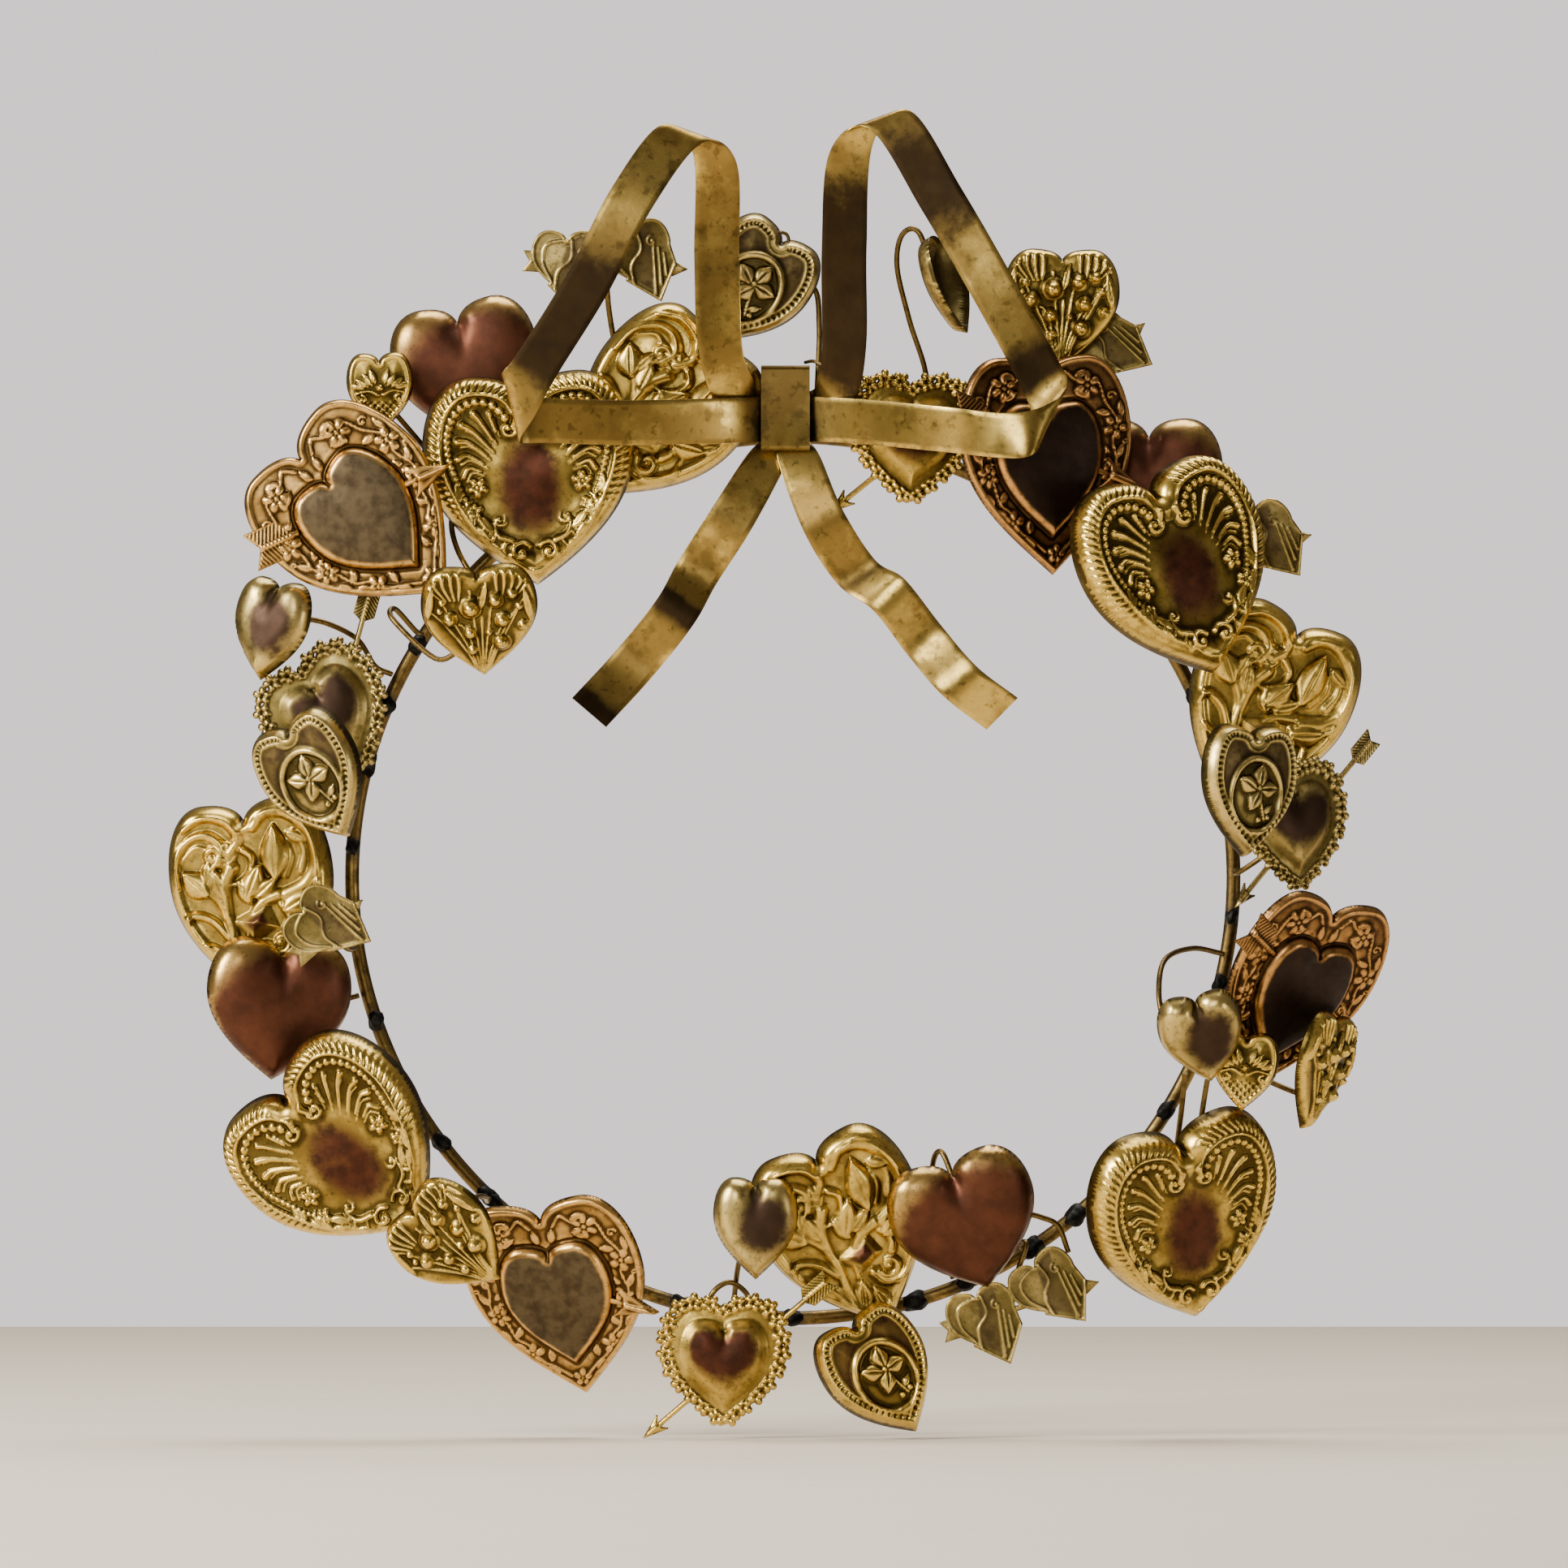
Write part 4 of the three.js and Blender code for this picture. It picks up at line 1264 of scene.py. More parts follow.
@dataclass
class FringeHeart(Stamping):
    """A small puffed heart in a pierced fringe of little flowers.

    Attributes:
        size: the outline that the fringe follows.
        flowers: how many flowers the fringe has.
        flower: a flower's radius.
    """

    span: Point = (41, 43)
    middle: Point = (0, 1.5)
    cell: float = 0.33
    brim: float = 0.9
    step: float = 1.4
    polish: float = 0.1
    finish: Finish = Finish.AGED
    slot: Slot = Slot.AGED
    size: HeartSize = HeartSize(38, 35, 3.5)
    flowers: int = 23
    flower: float = 2.85

    def press(self, x: Array, y: Array) -> Pressing:
        """Presses the heart.

        Args:
            x: the grid's x.
            y: the grid's y.

        Returns:
            Its heights, stain and distance inside its outline.
        """
        heart = Fence(self.size.outline(0.66)).inside(x, y)
        rim = self.size.outline(0.88)
        reach = np.concatenate([[0], np.cumsum(np.hypot(*np.diff(np.vstack([rim, rim[:1]]), axis=0).T))])
        relief = Relief(x, y)
        pierced = heart + 3.4
        for k in range(self.flowers):
            where = (k + 0.5) * reach[-1] / self.flowers
            at = (
                float(np.interp(where, reach, np.append(rim[:, 0], rim[0, 0]))),
                float(np.interp(where, reach, np.append(rim[:, 1], rim[0, 1]))),
            )
            turn = 40.0 * k
            angle = np.arctan2(y - at[1], x - at[0]) - math.radians(turn)
            petal = self.flower * (0.56 + 0.44 * np.abs(np.cos(2.5 * angle)) ** 0.6)
            pierced = np.maximum(pierced, petal - np.hypot(x - at[0], y - at[1]))
            relief.flower(at, self.flower, 5, turn, 1.1)
            relief.dent(at, 0.55, 0.9)
        knots = ((-4, 1.0), (-2.0, 1.4), (0, 1.6), (1.0, 2.3), (2.6, 3.5), (6, 4.5), (12, 4.9))
        puff = profile(heart, knots)
        crease = np.exp(-((x / 1.3) ** 2)) * smooth_step(y, 1, 8) * smooth_step(heart, 0, 1.5)
        height = puff - 0.9 * crease + relief.height * smooth_step(-heart, 1.4, 2.1)
        height = soften(height, heart, 3.0, self.cell)
        stain = 0.95 * smooth_step(heart, -1.5, 6.5) * smooth_step(y, -13, 3)
        return Pressing(height, stain, pierced)


@dataclass
class CloverLocket(Stamping):
    """A locket: a row of dimples inside the edge and a clover in a raised oval ring.

    Attributes:
        size: its outline.
        oval: the ring's half-width and half-height.
        oval_at: the ring's middle.
    """

    span: Point = (31.5, 38)
    middle: Point = (0, 1.75)
    cell: float = 0.33
    finish: Finish = Finish.AGED
    slot: Slot = Slot.AGED
    size: HeartSize = HeartSize(31.5, 34, 3.5, 0.45)
    oval: Point = (8.7, 10.5)
    oval_at: Point = (0.0, 0.6)

    def press(self, x: Array, y: Array) -> Pressing:
        """Presses the locket.

        Args:
            x: the grid's x.
            y: the grid's y.

        Returns:
            Its heights, stain and distance inside its outline.
        """
        inside, along = Fence(self.size.outline()).measure(x, y)
        base = profile(
            inside,
            (
                (-2, -0.4), (0, 0), (0.4, 2.2), (1.0, 3.9), (1.8, 4.7), (2.6, 4.8), (4.6, 4.7), (9, 5.2),
                (14, 5.4),
            ),
        )
        dots = np.clip(np.cos(2 * np.pi * along / 1.9), 0, 1) * np.exp(-(((inside - 2.9) / 0.55) ** 2))
        step = 0.35 * np.exp(-(((inside - 1.9) / 0.35) ** 2)) + 0.25 * np.exp(-(((inside - 4.0) / 0.35) ** 2))
        ox, oy = (x - self.oval_at[0]) / self.oval[0], (y - self.oval_at[1]) / self.oval[1]
        ring = (np.hypot(ox, oy) - 1) * self.oval[0]
        relief = Relief(x, y)
        self._clover(relief)
        height = base - 0.8 * dots + step + 0.9 * np.exp(-((ring / 0.75) ** 2))
        height -= 0.55 * smooth_step(-ring, 0.7, 1.4)
        height += relief.height * smooth_step(-ring, 0.2, 1.2)
        stain = 0.55 * smooth_step(ring, 0.6, 1.6) * smooth_step(inside, 3.6, 5.0)
        return Pressing(height, stain, inside)

    @staticmethod
    def _clover(relief: Relief) -> None:
        """Four leaves, a stalk and two small buds.

        Args:
            relief: the relief that it joins.
        """
        for x, y, angle in ((-3.2, 3.8, 150), (1.2, 6.4, 80), (4.0, 2.6, 5), (-0.6, -0.8, 240)):
            relief.leaf((x, y), 6.6, 5.4, angle, 1.7, 0.35)
            relief.stroke([(0.4, 2.8), (x, y)], 0.35, 0.3, 1.2)
        relief.stroke([(0.4, 2.8), (1.8, -2.0), (3.2, -6.2)], 0.5, 0.4, 1.1)
        relief.leaf((4.4, -3.2), 3.6, 2.2, 40, 1.1)
        relief.bead((4.4, -5.4), 1.0, 1.1)
        relief.bead((1.4, -6.2), 0.9, 1.0)
        relief.bead((0.4, 2.8), 0.9, 1.9)


@dataclass
class BerryHeart(Stamping):
    """A heart covered with a spray of round blossoms on long stalks that meet at the tip.

    Attributes:
        size: its outline.
    """

    span: Point = (33, 34.5)
    middle: Point = (0, 1.5)
    cell: float = 0.33
    size: HeartSize = HeartSize(33, 31, 3)

    def press(self, x: Array, y: Array) -> Pressing:
        """Presses the heart.

        Args:
            x: the grid's x.
            y: the grid's y.

        Returns:
            Its heights, stain and distance inside its outline.
        """
        inside = Fence(self.size.outline()).inside(x, y)
        base = profile(inside, ((-2, -0.3), (0, 0), (0.4, 1.4), (1.0, 2.1), (2.5, 2.5), (8, 3.0), (15, 3.2)))
        relief = Relief(x, y)
        tops = (
            (-10, 8), (-6, 2), (-2.4, 12), (0.6, 4), (3.6, 9), (7.6, 1), (10.6, 6), (13, 10), (-13.4, 6),
        )
        for tx, ty in tops:
            stalk = [(0.06 * tx, -15), (0.3 * tx, -7), (0.75 * tx, 0.35 * ty), (tx, ty)]
            relief.stroke(stalk, 0.5, 0.35, 0.9)
        for side in (-1, 1):
            for k in range(5):
                top = side * (5.2 + 2.3 * k)
                fluting = [(side * (5.6 + 1.2 * k), 9.5), (top, 13.4), (top * 1.02, 17.2 - 0.25 * k * k)]
                relief.stroke(fluting, 0.35, 0.8, 0.9)
        relief.leaf((-14.2, 8.6), 11, 3.4, 78, 1.3, 0.3)
        relief.leaf((13.8, 6.6), 11, 3.2, 100, 1.3, 0.3)
        relief.leaf((1.4, 10.4), 8.0, 2.6, 76, 1.6, 0.3)
        blossoms = (
            (-2.4, 7.0, 2.5), (-8.6, 3.8, 1.9), (-10.4, 8.8, 1.0), (-11.2, 6.2, 0.9), (-3.0, -0.6, 1.8),
            (4.6, 9.0, 2.0), (6.4, 2.6, 1.9), (5.6, -4.0, 2.2), (-2.6, -6.0, 1.5), (12.0, 0.6, 1.2),
            (11.4, 6.4, 1.1), (2.4, -1.0, 1.0), (9.6, 10.4, 1.4),
        )
        for bx, by, radius in blossoms:
            relief.bead((bx, by), 1.45 * radius, 0.6 * radius)
            relief.bead((bx, by), radius, 1.35 * radius)
        height = base + relief.height * smooth_step(inside, 0.6, 1.6)
        return Pressing(height, np.zeros(x.shape), inside)


@dataclass
class BasketHeart(Stamping):
    """The smallest heart: two sprays of leaves over basket weave, inside a stepped rim.

    Attributes:
        size: its outline.
        weave: spacing of the basket weave.
    """

    span: Point = (19.5, 23)
    middle: Point = (0, 1.25)
    cell: float = 0.3
    size: HeartSize = HeartSize(19, 20, 2.5)
    weave: float = 2.2

    def press(self, x: Array, y: Array) -> Pressing:
        """Presses the heart.

        Args:
            x: the grid's x.
            y: the grid's y.

        Returns:
            Its heights, stain and distance inside its outline.
        """
        inside = Fence(self.size.outline()).inside(x, y)
        knots = ((-2, -0.3), (0, 0), (0.4, 1.6), (0.9, 2.4), (1.4, 2.6), (1.9, 2.2), (5, 2.6), (9, 3.0))
        base = profile(inside, knots)
        weave = 0.3 * np.sin(2 * np.pi * x / self.weave) * np.sin(2 * np.pi * y / self.weave)
        weave *= smooth_step(-y, 1.2, 2.2)
        relief = Relief(x, y)
        for side in (-1, 1):
            for k in range(4):
                at = (side * (1.9 + 1.5 * k), 5.6 - 0.9 * k)
                relief.leaf(at, 4.4, 1.7, 90 + side * (-18 - 18 * k), 0.9)
            relief.stroke([(side * 0.8, 0.4), (side * 3.4, 1.6), (side * 6.8, 1.0)], 0.5, 0.3, 0.8)
            relief.spiral((side * 5.2, -0.8), 1.3, 0.8, 90, side, 0.4, 0.8)
        relief.bead((0, 2.4), 1.0, 1.1)
        height = base + weave + relief.height * smooth_step(inside, 1.6, 2.4)
        return Pressing(height, np.zeros(x.shape), inside)


@dataclass
class TwinHeart(Stamping):
    """Two flat hearts on an arrow, each with a pleated end, engraved with a line and curls.

    Attributes:
        size: a heart's outline, before its pleated end.
        places: each heart's middle and turn in degrees.
        arrow: the arrow's length.
    """

    span: Point = (48, 34)
    middle: Point = (0, -1)
    cell: float = 0.3
    step: float = 1.2
    brim: float = 0.75
    finish: Finish = Finish.AGED
    slot: Slot = Slot.AGED
    size: HeartSize = HeartSize(20, 15.5, 3)
    places: tuple[Point, ...] = ((-11.0, -1.5, -12.0), (9.5, 2.0, 4.0))
    arrow: float = 47.0

    def press(self, x: Array, y: Array) -> Pressing:
        """Presses the hearts.

        Args:
            x: the grid's x.
            y: the grid's y.

        Returns:
            Its heights, stain and distance inside its outline.
        """
        inside = self._arrow(x, y)
        height = np.full(x.shape, 0.8)
        stain = np.zeros(x.shape)
        height += 0.3 * np.clip(1 - np.abs(y) / 2.5, 0, 1) * smooth_step(inside, 0, 0.5)
        for px, py, roll in self.places:
            turn = math.radians(roll)
            u = (x - px) * math.cos(turn) + (y - py) * math.sin(turn)
            v = (y - py) * math.cos(turn) - (x - px) * math.sin(turn)
            edge, raised, dark = self._half(u, v)
            inside = np.maximum(inside, edge)
            over = edge > 0
            height = np.where(over, 0.8 + raised, height)
            stain = np.where(over, dark, stain)
        return Pressing(height, stain, inside)

    def _arrow(self, x: Array, y: Array) -> Array:
        """Measures points against the arrow, whose shaft isn't hidden.

        Args:
            x: the grid's x.
            y: the grid's y.

        Returns:
            The distance inside the arrow.
        """
        arrow = Arrow(
            length=self.arrow, shaft=1.6, head=(6, 6), barb=1.4, feather=(7, 6), nick=1.8, slant=1,
            hidden=(math.inf, -math.inf), inset=2,
        )
        return arrow.measure(x, y)[2]

    def _half(self, u: Array, v: Array) -> tuple[Array, Array, Array]:
        """Works one heart.

        Args:
            u: the grid's x in the heart's own frame.
            v: the grid's y in that frame.

        Returns:
            The distance inside it, its raised lines and its stain.
        """
        turn = math.radians(14)
        hu = u * math.cos(turn) + v * math.sin(turn)
        hv = v * math.cos(turn) - u * math.sin(turn)
        heart = Fence(self.size.outline()).inside(hu, hv)
        pleats = Fence(np.array([(-4, -6), (6, -12), (10.5, -1), (8, 7), (0, 7)], float)).inside(u, v)
        edge = np.maximum(heart, pleats)
        lines = Relief(u, v)
        lines.stroke([(-0.6, 8.0), (0.6, 3.0), (-2.2, -1.6), (-1.4, -7.4)], 0.42, 0.42, 0.5)
        bow = [(-0.9, 7.4), (-3.8, 7.0), (-7.4, 4.6), (-6.8, -0.4), (-3.6, -4.2), (-1.6, -6.6)]
        lines.stroke(bow, 0.38, 0.38, 0.45)
        lines.spiral((3.6, 5.2), 1.5, 1.1, 100, 1, 0.36, 0.45)
        lines.spiral((-3.4, -6.4), 1.2, 0.9, 200, -1, 0.34, 0.45)
        for k in range(3):
            lines.stroke([(4.0 + 1.5 * k, 5.0 - 1.6 * k), (4.6 + 1.5 * k, -9.6 + 2.6 * k)], 0.3, 0.55, 0.5)
        lines.stroke([(5.8, -11.2), (7.9, -6.4), (10.0, -1.2)], 0.4, 0.4, 0.5)
        raised = lines.height + 0.3 * np.exp(-(((edge - 0.45) / 0.3) ** 2))
        panel = smooth_step(edge, 0.8, 2.0) * smooth_step(-np.abs(u - 1.0), -3.4, -2.2)
        return edge, raised, 0.5 * panel


# ---- places ----


@dataclass(frozen=True)
class Place:
    """Where a stamping sits on the bench.

    Attributes:
        node: its CAD node.
        at: its middle.
        lift: how far its rim lies over the ring's plane.
        roll: its turn anticlockwise, in degrees.
        turn: its turn towards +x, in degrees.
        nod: its turn forwards, in degrees.
        via: points that its stem runs through.
        loose: whether a stem of its own node holds it.
        finish: its finish, where that isn't its stamping's.
    """

    node: str
    at: Point
    lift: float
    roll: float = 0.0
    turn: float = 0.0
    nod: float = 0.0
    via: tuple[Point, ...] = ()
    loose: bool = False
    finish: Finish | None = None

    def matrix(self) -> Matrix:
        """Turns the stamping and sets it in its place.

        Returns:
            The matrix from the stamping's own frame to the bench.
        """
        spin = Matrix.Rotation(math.radians(self.roll), 4, "Z")
        spin = spin @ Matrix.Rotation(math.radians(self.turn), 4, "Y")
        spin = spin @ Matrix.Rotation(math.radians(self.nod), 4, "X")
        return Matrix.Translation((self.at[0], self.at[1], self.lift)) @ spin


@dataclass
class Charm:
    """A stamping, what is fixed to its face, and its places round the ring.

    Attributes:
        stamping: the sheet.
        crown: height in its hollow where its stem is soldered.
        places: where it sits.
        arrow: the arrow across it.
        arrow_at: the arrow's middle and height on it.
        arrow_turn: the arrow's direction in degrees.
    """

    stamping: Stamping
    crown: float
    places: tuple[Place, ...]
    arrow: Stamping | None = None
    arrow_at: Point = (0.0, 0.0, 0.0)
    arrow_turn: float = 0.0

    def build(self, shop: Shop) -> None:
        """Stamps it once and puts a copy in each place.

        Args:
            shop: the shop's tools.
        """
        sheet = self.stamping.mesh(shop, "sheet")
        arrow = self.arrow.mesh(shop, "arrow") if self.arrow else None
        laid = Matrix.Translation(self.arrow_at) @ Matrix.Rotation(math.radians(self.arrow_turn), 4, "Z")
        for place in self.places:
            self._copy(shop, sheet, place, place.matrix(), [place.node])
            if arrow:
                self._copy(shop, arrow, place, place.matrix() @ laid, [])
            if not place.loose:
                self._stem(shop, place)
        bpy.data.meshes.remove(sheet)
        if arrow:
            bpy.data.meshes.remove(arrow)

    def _copy(
        self, shop: Shop, pressed: bpy.types.Mesh, place: Place, matrix: Matrix, nodes: Sequence[str]
    ) -> None:
        """Puts a copy of a pressed sheet in its place.

        Args:
            shop: the shop's tools.
            pressed: the sheet, named for what it is.
            place: its place.
            matrix: from the sheet's own frame to the bench.
            nodes: the CAD nodes that it stands for.
        """
        copy = pressed.copy()
        copy.name = f"{place.node}_{pressed.name}"
        copy.transform(matrix)
        shop.piece(copy.name, copy, place.finish or self.stamping.finish, nodes)

    def _stem(self, shop: Shop, place: Place) -> None:
        """Runs the wire from the stamping's hollow back to the ring.

        Args:
            shop: the shop's tools.
            place: the stamping's place.
        """
        hollow = place.matrix() @ Vector((0, 0, self.crown))
        way = [Vector(point) for point in place.via] or [place.matrix() @ Vector((0, 0, -3))]
        end = ring_end(way[-1])
        if not place.via and (way[0] - end).length < SHORT_STEM:
            way = []
        Wire([hollow, *way, end]).build(shop, f"{place.node}_stem")


# The two stems that arch before they reach the ring, as bench points.
HOOK = ((36, 182, 13), (31, 182, 11), (29.5, 173, 9), (33, 158, 5), (38, 140, 2))
ARCH = ((-24, -125, 12), (-23, -118, 13), (-18, -114.5, 12), (-13, -118, 8))


# The stampings on the ring, kind by kind, each with its places.
CHARMS = (
    Charm(
        RopeHeart(),
        7.0,
        (
            Place("rope_heart_1", (109.3, 82.5), 28, 20, 28),
            Place("rope_heart_2", (109.8, -99.6), 16, 16, 25, 26),
            Place("rope_heart_3", (-123.5, -79.8), 20, 47, -18),
            Place("rope_heart_4", (-74, 109), 14, 4),
        ),
    ),
    Charm(
        ArrowHeart(),
        3.8,
        (
            # The first two take the darker copy of the copper finish: painted shade, since they turn away
            # from the light.
            Place("arrow_heart_1", (72, 113.5), 19, 3, 20, finish=Finish.COPPER_PAINTED_SHADE),
            Place("arrow_heart_2", (140, -35.5), 19, -13, 40, 20, finish=Finish.COPPER_PAINTED_SHADE),
            Place("arrow_heart_3", (-64.8, -121.3), 12, 8, -15, 25),
            Place("arrow_heart_4", (-118.5, 99.5), 23, 48),
        ),
        Arrow(),
        (-0.8, 7.8, 1.4),
        -24,
    ),
    Charm(
        LilyHeart(),
        4.0,
        (
            Place("lily_heart_1", (132, 44.5), 8, -24, 8),
            Place("lily_heart_2", (16.8, -103), 10, 24, 0, 16),
            Place("lily_heart_3", (-152, -10), 4, 8, -10),
            Place("lily_heart_4", (-41, 129), 2.5, -40),
        ),
    ),
    Charm(
        PlainHeart(),
        6.2,
        (
            Place("plain_heart_1", (101, 107.5), 0),
            Place("plain_heart_2", (50, -100), 18, 18, 0, 15, loose=True),
            Place("plain_heart_3", (-146, -40), 13, -5, 15),
            Place("plain_heart_4", (-91.5, 140.5), 3, 12),
        ),
    ),
    Charm(
        PlainHeart(
            (24, 29), (0, 1.5), 0.7, finish=Finish.AGED, slot=Slot.AGED,
            size=HeartSize(24, 26, 3), depth=6, film_and_shade_at=(2.5, 3.0), film=(9.0, 11.0), soft=(-0.6, 1.3),
        ),
        5.2,
        (
            Place("small_heart_1", (45.5, 166.5), 15, 16, -112, via=HOOK),
            Place("small_heart_2", (115.4, -46), 40, 12, 0, 30, loose=True),
            Place("small_heart_3", (-10.5, -100.5), 22.3, via=((-15, -108, 16),)),
            Place("small_heart_4", (-147.8, 68.6), 17.2, -12, -30, loose=True),
        ),
    ),
    Charm(
        FringeHeart(),
        2.6,
        (
            Place("fringe_heart_1", (33.5, 122.5), 5, -2, 10, finish=Finish.GOLD),
            Place("fringe_heart_2", (141.5, 13), 20, 4, 35, via=((127, 2, 14),)),
            Place("fringe_heart_3", (-19.5, -138.5), 16, via=ARCH, finish=Finish.GOLD),
            Place("fringe_heart_4", (-130, 44.5), 12, 34),
        ),
        Arrow(
            (70, 6), cell=0.3, brim=0.6, finish=Finish.AGED, slot=Slot.AGED, length=70, shaft=1.5,
            head=(8.0, 5.6), barb=2.4, feather=(10.5, 6.2), nick=1.8, slant=2, hidden=(-14, 12), inset=2,
            thick=0.6, facet=0.7, bow=0, hatch=(0.2, 1.0, 1.1), plain=(0.2, 0.6),
        ),
        (3.6, 2.6, 0.2),
        -139.5,
    ),
    Charm(
        CloverLocket(),
        4.6,
        (
            Place("clover_locket_1", (-12.8, 166), 6, -35, loose=True),
            Place("clover_locket_2", (127.5, 22.8), 34.8, -3, 35, via=((121.5, 14, 28),)),
            Place("clover_locket_3", (25.8, -142), 20, 32, 15, finish=Finish.GOLD),
            Place("clover_locket_4", (-133.5, 26.5), 22, 29, -25),
        ),
    ),
    Charm(
        BerryHeart(),
        2.6,
        (
            Place("berry_heart_1", (76, 159.5), 8, -1),
            Place("berry_heart_2", (148, -56), 22, -17, 65, via=((146, -62, 8),)),
            Place("berry_heart_3", (-94.5, -103.3), 38, 52, -30, loose=True),
            Place("berry_heart_4", (-88, 71.3), 31, 4, 0, 25, loose=True),
        ),
    ),
    Charm(
        BasketHeart(),
        2.4,
        (
            Place("basket_heart_1", (127.2, -55.7), 32, -5, via=((121, -52, 20),)),
            Place("basket_heart_2", (-116.5, 136), 16, 3),
        ),
    ),
    Charm(
        TwinHeart(),
        0.5,
        (
            Place("twin_heart_1", (-53, 173.5), 7, -3, via=((-52, 160, 2), (-49, 146, 0))),
            Place("twin_heart_2", (64.5, -121.5), 12, 18, loose=True),
        ),
    ),
    Charm(
        TwinHeart((28, 30), (0, -1), places=((0.0, 1.0, 4.0),), arrow=26),
        0.5,
        (
            Place("half_twin_1", (90, 149), 3, 40),
            Place("half_twin_2", (134.5, 94), 8, 14),
            Place("half_twin_3", (-131, -14.5), 26, 41, via=((-126, -20, 16),)),
        ),
    ),
)


# ---- wire, ring and solder ----


def ring_end(point: Vector) -> Vector:
    """Where a wire that comes from a point ends: a stem's radius short of the rod's surface."""
    foot = Vector((point.x, point.y, 0)).normalized() * RING_RADIUS
    return foot + (point - foot).normalized() * (ROD + WIRE)


def bend(shape: bmesh.types.BMesh, middle: Array, side: Array, out: Array) -> None:
    """Moves the cross-sections of a bar that stands along z onto the places of a path.

    Args:
        shape: the bar, with a cross-section at each whole z from 0.
        middle: the path.
        side: the direction of the bar's x at each place.
        out: the direction of its y.
    """
    for vert in shape.verts:
        step = min(max(round(vert.co.z), 0), len(middle) - 1)
        vert.co = Vector(middle[step] + vert.co.x * side[step] + vert.co.y * out[step])
    bmesh.ops.recalc_face_normals(shape, faces=shape.faces)


def unit(rows: Array) -> Array:
    """Scales each row to length 1."""
    return rows / np.maximum(np.linalg.norm(rows, axis=1, keepdims=True), 1e-9)


@dataclass
class Wire:
    """A round wire bent through bench points.

    Attributes:
        points: the points.
        radius: its radius.
        sides: how many sides its section has.
    """

    points: Sequence[Vector]
    radius: float = WIRE
    sides: int = 10

    def shape(self) -> bmesh.types.BMesh:
        """Bends the wire from a straight bar, carrying its section along without twist.

        Returns:
            The wire, closed at both ends.
        """
        path = smooth_path([tuple(point) for point in self.points], 7)
        tangent = unit(np.gradient(path, axis=0))
        side = np.zeros_like(path)
        last = np.cross(tangent[0], (0.3, 0.2, 1.0))
        for step, along in enumerate(tangent):
            last = last - along * float(last @ along)
            last = last / np.linalg.norm(last)
            side[step] = last
        steps = len(path) - 1
        shape = bmesh.new()
        bmesh.ops.create_cone(
            shape, cap_ends=True, segments=self.sides, radius1=self.radius, radius2=self.radius, depth=steps,
            matrix=Matrix.Translation((0, 0, steps / 2)),
        )
        long_edges = [edge for edge in shape.edges if abs(edge.verts[0].co.z - edge.verts[1].co.z) > 0.5]
        bmesh.ops.subdivide_edges(shape, edges=long_edges, cuts=steps - 1, use_grid_fill=True)
        bend(shape, path, side, np.cross(tangent, side))
        return shape

    def build(self, shop: Shop, name: str, nodes: Sequence[str] = ()) -> None:
        """Makes a piece of it.

        Args:
            shop: the shop's tools.
            name: the piece's name.
            nodes: the CAD nodes that it stands for.
        """
        mesh = shop.mesh(name, self.shape())
        mesh.set_sharp_from_angle(angle=math.radians(50))
        paint(mesh, "wear", [0.62] * len(mesh.vertices))
        shop.piece(name, mesh, Finish.WIRE, nodes)


# The wires that show from ring to stamping, by CAD node, as bench points.
STEMS = {
    "stem_top_locket": ((-2, 168, 4.5), (6, 167, 4.5), (7.5, 156, 4), (7, 140, 4)),
    "stem_bottom_hook": ((45.6, -86, 20), (42, -77.5, 17), (39.5, -82, 12), (40, -100, 6)),
    "stem_bottom_arrow": ((62, -116, 10), (66, -104, 11), (64, -104, 6)),
    "stem_left_loop": ((-92.5, -98, 40), (-90, -90.5, 36), (-87, -90, 24), (-86.5, -91.5, 10)),
    "stem_left_arm": ((-146, 71, 15.8), (-136, 73, 10), (-124, 68, 6), (-118.5, 60, 4)),
    "stem_left_hook": ((-94, 64, 26), (-101, 62, 25), (-113, 73, 20), (-112.5, 76, 14), (-107, 70, 7)),
    "stem_right_hook": ((104.5, -42, 42), (103, -32, 38), (105, -23, 28), (113, -20, 14)),
}

# A locket's bail: eight steps round a loop.
BAIL = tuple(
    (-3.3 + 2.1 * math.sin(math.pi / 4 * k), 180.7 + 2.1 * math.cos(math.pi / 4 * k), 8) for k in range(9)
)
# Short pieces of wire with no CAD node of their own: their bench points and their radius.
ENDS = {
    "locket_bail": (BAIL, 0.5),
    "rod_splice": (((119.5, 53, 2), (123, 46, 3), (127, 38, 2)), 1.8),
    "wire_end_left": (((-96, 106, 12), (-96.5, 99, 14), (-94.5, 92, 17), (-90.5, 85, 20)), WIRE),
    "wire_end_band": (((3.5, 146, 4), (6, 146.2, 8), (9, 144.5, 10)), 0.5),
    "wire_end_right": (((110.5, -55, 32), (109.8, -64, 27), (108.6, -75, 20)), WIRE),
    "wire_end_right_2": (((117, -57, 25), (116.2, -62, 23), (114.9, -71, 20)), WIRE),
    "wire_end_bottom": (((66, -95, 14), (70, -96, 13), (75, -98.5, 12), (78, -106, 10)), WIRE),
}


